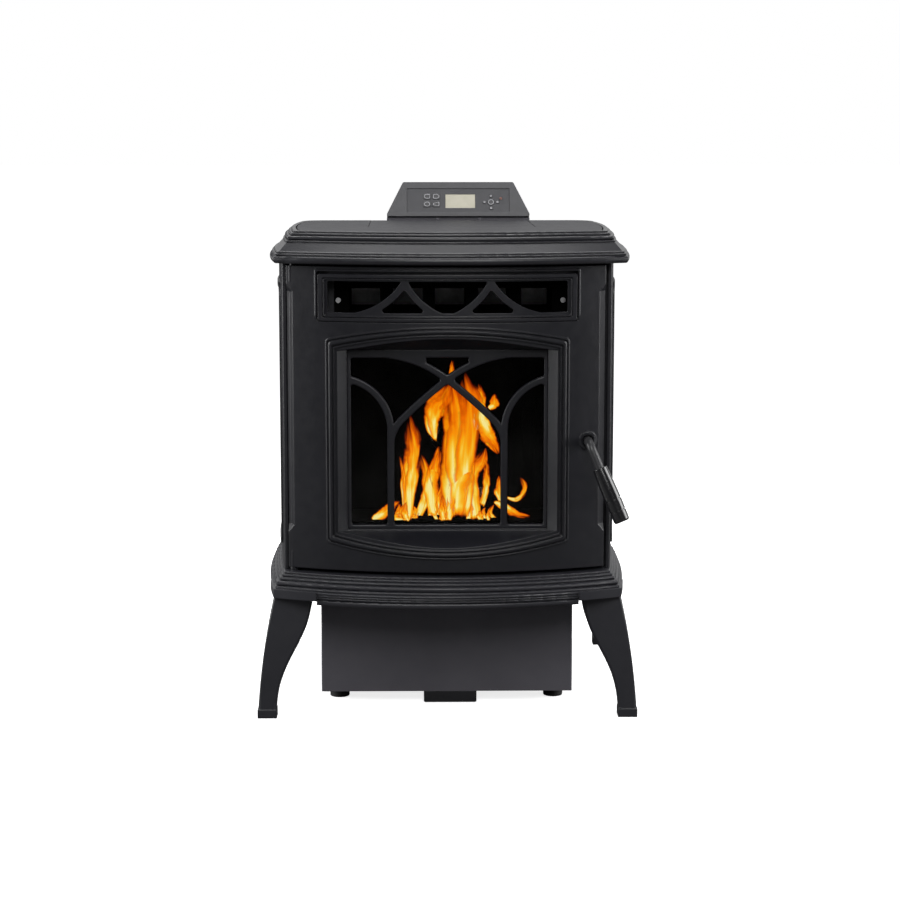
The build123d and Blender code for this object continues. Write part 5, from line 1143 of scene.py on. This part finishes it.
@dataclass
class ControlPanel:
    """Panel housing, face, display, inlet and keys with their pale rims."""

    nodes: dict[str, bpy.types.Object]
    tilt: float = math.radians(24)
    rim_width: float = 0.0009
    rim_height: float = 0.00018
    rim_inset: float = 0.0012
    rim_steps: int = 40
    outlines: dict[str, KeyShape] = field(
        default_factory=lambda: {
            "key_upper_left": KeyShape.ROUND_LEFT,
            "key_upper_right": KeyShape.ROUND_RIGHT,
            "key_lower_left": KeyShape.ROUND,
            "key_lower_right": KeyShape.WEDGE,
            "key_nav_centre": KeyShape.ROUND,
            "key_round": KeyShape.ROUND,
        }
    )
    keys: tuple[str, ...] = (
        "key_upper_left",
        "key_upper_right",
        "key_lower_left",
        "key_lower_right",
        "key_nav_up",
        "key_nav_down",
        "key_nav_left",
        "key_nav_right",
        "key_nav_centre",
        "key_round",
    )

    def rim(self, key: str, material: bpy.types.Material, slot: str) -> None:
        """Raise a thin pale outline on one key.

        Args:
            key: CAD node of the key.
            material: Finish of the outline.
            slot: Material slot of the record; not used.
        """
        low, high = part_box(key)
        up = Vector((0, math.sin(self.tilt), math.cos(self.tilt)))
        out = Vector((0, -math.cos(self.tilt), math.sin(self.tilt)))
        corners = [vertex.co for vertex in self.nodes[key].data.vertices]
        top = max(corner.dot(out) for corner in corners)
        heights = [corner.dot(up) for corner in corners]
        middle_v = (max(heights) + min(heights)) / 2
        half_v = (max(heights) - min(heights)) / 2 - self.rim_inset
        middle_u, half_u = (low.x + high.x) / 2, (high.x - low.x) / 2 - self.rim_inset
        shape = self.outlines.get(key, KeyShape.SQUARE)
        mesh = bmesh.new()
        rings = []
        rim, rise = self.rim_width, self.rim_height
        for inset, lift in ((0.0, 0.0), (0.0, rise), (rim, rise), (rim, 0.0)):
            ring = []
            for step in range(self.rim_steps):
                angle = 2 * math.pi * step / self.rim_steps
                aside, above = shape.point(angle)
                u = middle_u + (half_u - inset) * aside
                v = middle_v + (half_v - inset) * above
                ring.append(mesh.verts.new(Vector((u, 0, 0)) + up * v + out * (top + lift)))
            rings.append(ring)
        for inner, outer in zip(rings, rings[1:]):
            for step in range(self.rim_steps):
                after = (step + 1) % self.rim_steps
                mesh.faces.new((inner[step], inner[after], outer[after], outer[step]))
        bmesh.ops.recalc_face_normals(mesh, faces=mesh.faces)
        make_piece(f"{key}_rim", mesh, material, key)

    def build(self) -> None:
        """Dress the panel and put the rims on its keys."""
        housing = MouldedPlastic(
            "panel_plastic", (0.05, 0.05, 0.054), (0.06, 0.06, 0.065), 0.42, 0.52, 0.00004
        )
        dress(self.nodes["control_housing"], housing.build())
        face = MouldedPlastic(
            "panel_membrane", (0.04, 0.04, 0.045), (0.047, 0.047, 0.052), 0.36, 0.44, 0.00001
        )
        dress(self.nodes["control_face"], face.build())
        screen = MouldedPlastic(
            "panel_display", (0.41, 0.39, 0.31), (0.45, 0.43, 0.35), 0.3, 0.4, 0.0
        )
        dress(self.nodes["control_display"], screen.build())
        key = MouldedPlastic(
            "key_plastic", (0.042, 0.042, 0.045), (0.05, 0.05, 0.053), 0.4, 0.5, 0.00001
        )
        pale = MouldedPlastic("key_rim_pale", (0.34, 0.34, 0.36), (0.4, 0.4, 0.42), 0.4, 0.5, 0.0)
        red = MouldedPlastic("key_rim_red", (0.28, 0.1, 0.07), (0.33, 0.13, 0.09), 0.4, 0.5, 0.0)
        key_finish, pale_finish, red_finish = key.build(), pale.build(), red.build()
        for name in self.keys:
            dress(self.nodes[name], key_finish)
            last = name == "key_round"
            self.rim(name, red_finish if last else pale_finish, "key_red" if last else "key_grey")
        inlet = MouldedPlastic(
            "inlet_plastic", (0.012, 0.012, 0.012), (0.018, 0.018, 0.018), 0.4, 0.6, 0.0001
        )
        dress(self.nodes["power_inlet"], inlet.build())
        LOG.info("control panel dressed")


@dataclass
class Studio:
    """Pale floor, soft light, white surroundings and the camera."""

    eye: Point = CAMERA_EYE
    down: float = math.radians(8.276)
    right: float = math.radians(0.902)
    lens: float = 88.0
    floor_glow: float = 0.8
    floor_bounce: float = 0.12
    soft_sky: float = 0.25
    gloss_front: float = 0.05
    gloss_back: float = 0.7
    lamps: tuple[tuple[str, Point, Point, float, float], ...] = (
        ("lamp_left", (-3.2, -0.45, 1.3), (0, -0.2, 0.5), 2.0, 92.0),
        ("lamp_right", (3.2, -0.45, 1.3), (0, -0.2, 0.5), 2.0, 80.0),
        ("lamp_top", (0, 0.55, 3.1), (0, 0.1, 0.5), 2.2, 72.0),
        ("lamp_front", (0.2, -3.0, 2.4), (0, 0, 0.5), 1.8, 60.0),
    )

    def floor(self) -> None:
        """Lay the pale floor."""
        mesh = bmesh.new()
        bmesh.ops.create_grid(mesh, x_segments=40, y_segments=40, size=60.0)
        data = bpy.data.meshes.new("floor")
        mesh.to_mesh(data)
        mesh.free()
        floor = bpy.data.objects.new("floor", data)
        bpy.context.scene.collection.objects.link(floor)
        bench = NodeBench("studio_floor")
        grain = bench.noise(30.0, 2.0)
        tint = bench.ramp(grain, [(0.0, (0.93, 0.93, 0.93)), (1.0, (0.96, 0.96, 0.96))])
        matt = bench.feed(bench.node("ShaderNodeBsdfDiffuse"), Color=tint).outputs["BSDF"]
        glow = bench.feed(
            bench.node("ShaderNodeEmission"), Color=(1, 1, 1, 1), Strength=self.floor_glow
        ).outputs["Emission"]
        both = bench.node("ShaderNodeAddShader")
        bench.link(matt, both.inputs[0])
        bench.link(glow, both.inputs[1])
        bounce = (self.floor_bounce,) * 3 + (1.0,)
        dim = bench.feed(bench.node("ShaderNodeBsdfDiffuse"), Color=bounce).outputs["BSDF"]
        mix = bench.node("ShaderNodeMixShader")
        bench.link(bench.node("ShaderNodeLightPath").outputs["Is Camera Ray"], mix.inputs["Fac"])
        bench.link(dim, mix.inputs[1])
        bench.link(both.outputs["Shader"], mix.inputs[2])
        bench.link(mix.outputs["Shader"], bench.output.inputs["Surface"])
        data.materials.append(bench.material)

    def light(self) -> None:
        """Hang the lamps."""
        for name, place, aim, size, power in self.lamps:
            lamp = bpy.data.lights.new(name, "AREA")
            lamp.energy, lamp.size = power, size
            holder = bpy.data.objects.new(name, lamp)
            holder.location = place
            beam = Vector(aim) - Vector(place)
            holder.rotation_euler = beam.to_track_quat("-Z", "Y").to_euler()
            bpy.context.scene.collection.objects.link(holder)

    def surroundings(self) -> None:
        """White to the camera, soft on the castings, darker in their gloss towards the front."""
        world = bpy.data.worlds.new("studio")
        bpy.context.scene.world = world
        world.use_nodes = True
        tree = world.node_tree
        tree.nodes.clear()

        def combine(operation: str, first: Socket, second: Socket | float) -> Socket:
            """Work out one value from two.

            Args:
                operation: Blender's name of the operation.
                first: First socket.
                second: Second value or socket.

            Returns:
                The result's socket.
            """
            made = tree.nodes.new("ShaderNodeMath")
            made.operation = operation
            tree.links.new(first, made.inputs[0])
            if isinstance(second, bpy.types.NodeSocket):
                tree.links.new(second, made.inputs[1])
            else:
                made.inputs[1].default_value = second
            return made.outputs["Value"]

        path = tree.nodes.new("ShaderNodeLightPath").outputs
        where = tree.nodes.new("ShaderNodeTexCoord")
        split = tree.nodes.new("ShaderNodeSeparateXYZ")
        tree.links.new(where.outputs["Generated"], split.inputs["Vector"])
        behind = tree.nodes.new("ShaderNodeMapRange")
        ends = {
            "From Min": -0.4,
            "From Max": 0.8,
            "To Min": self.gloss_front,
            "To Max": self.gloss_back,
        }
        for key, number in ends.items():
            behind.inputs[key].default_value = number
        tree.links.new(split.outputs["Y"], behind.inputs["Value"])
        seen = combine("MAXIMUM", path["Is Camera Ray"], path["Is Transmission Ray"])
        gloss = combine("MULTIPLY", path["Is Glossy Ray"], behind.outputs["Result"])
        soft = combine("MULTIPLY", path["Is Diffuse Ray"], self.soft_sky)
        level = combine("MAXIMUM", combine("MAXIMUM", seen, gloss), soft)
        sky = tree.nodes.new("ShaderNodeBackground")
        sky.inputs["Color"].default_value = (1, 1, 1, 1)
        tree.links.new(level, sky.inputs["Strength"])
        out = tree.nodes.new("ShaderNodeOutputWorld")
        tree.links.new(sky.outputs["Background"], out.inputs["Surface"])

    def camera(self) -> None:
        """Stand the camera where the photograph was taken."""
        data = bpy.data.cameras.new("camera")
        data.lens, data.sensor_width = self.lens, 36.0
        data.clip_start, data.clip_end = 0.05, 400.0
        camera = bpy.data.objects.new("camera", data)
        camera.location = self.eye
        camera.rotation_euler = (math.pi / 2 - self.down, 0, -self.right)
        bpy.context.scene.collection.objects.link(camera)
        bpy.context.scene.camera = camera

    def build(self) -> None:
        """Set up the whole studio."""
        bpy.context.scene.view_settings.view_transform = "Standard"
        self.floor()
        self.light()
        self.surroundings()
        self.camera()
        LOG.info("studio ready")


def main() -> None:
    """Build every sub-assembly in order."""
    logging.basicConfig(level=logging.INFO, format="%(name)s: %(message)s")
    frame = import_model()
    nodes = frame["nodes"]
    Studio().build()
    CastBody(nodes).build()
    FrontDoor(nodes).build()
    RopeSeals().build()
    FireSide(nodes).build()
    Fire().build()
    PelletStore().build()
    ControlPanel(nodes).build()


if __name__ == "__main__":
    main()
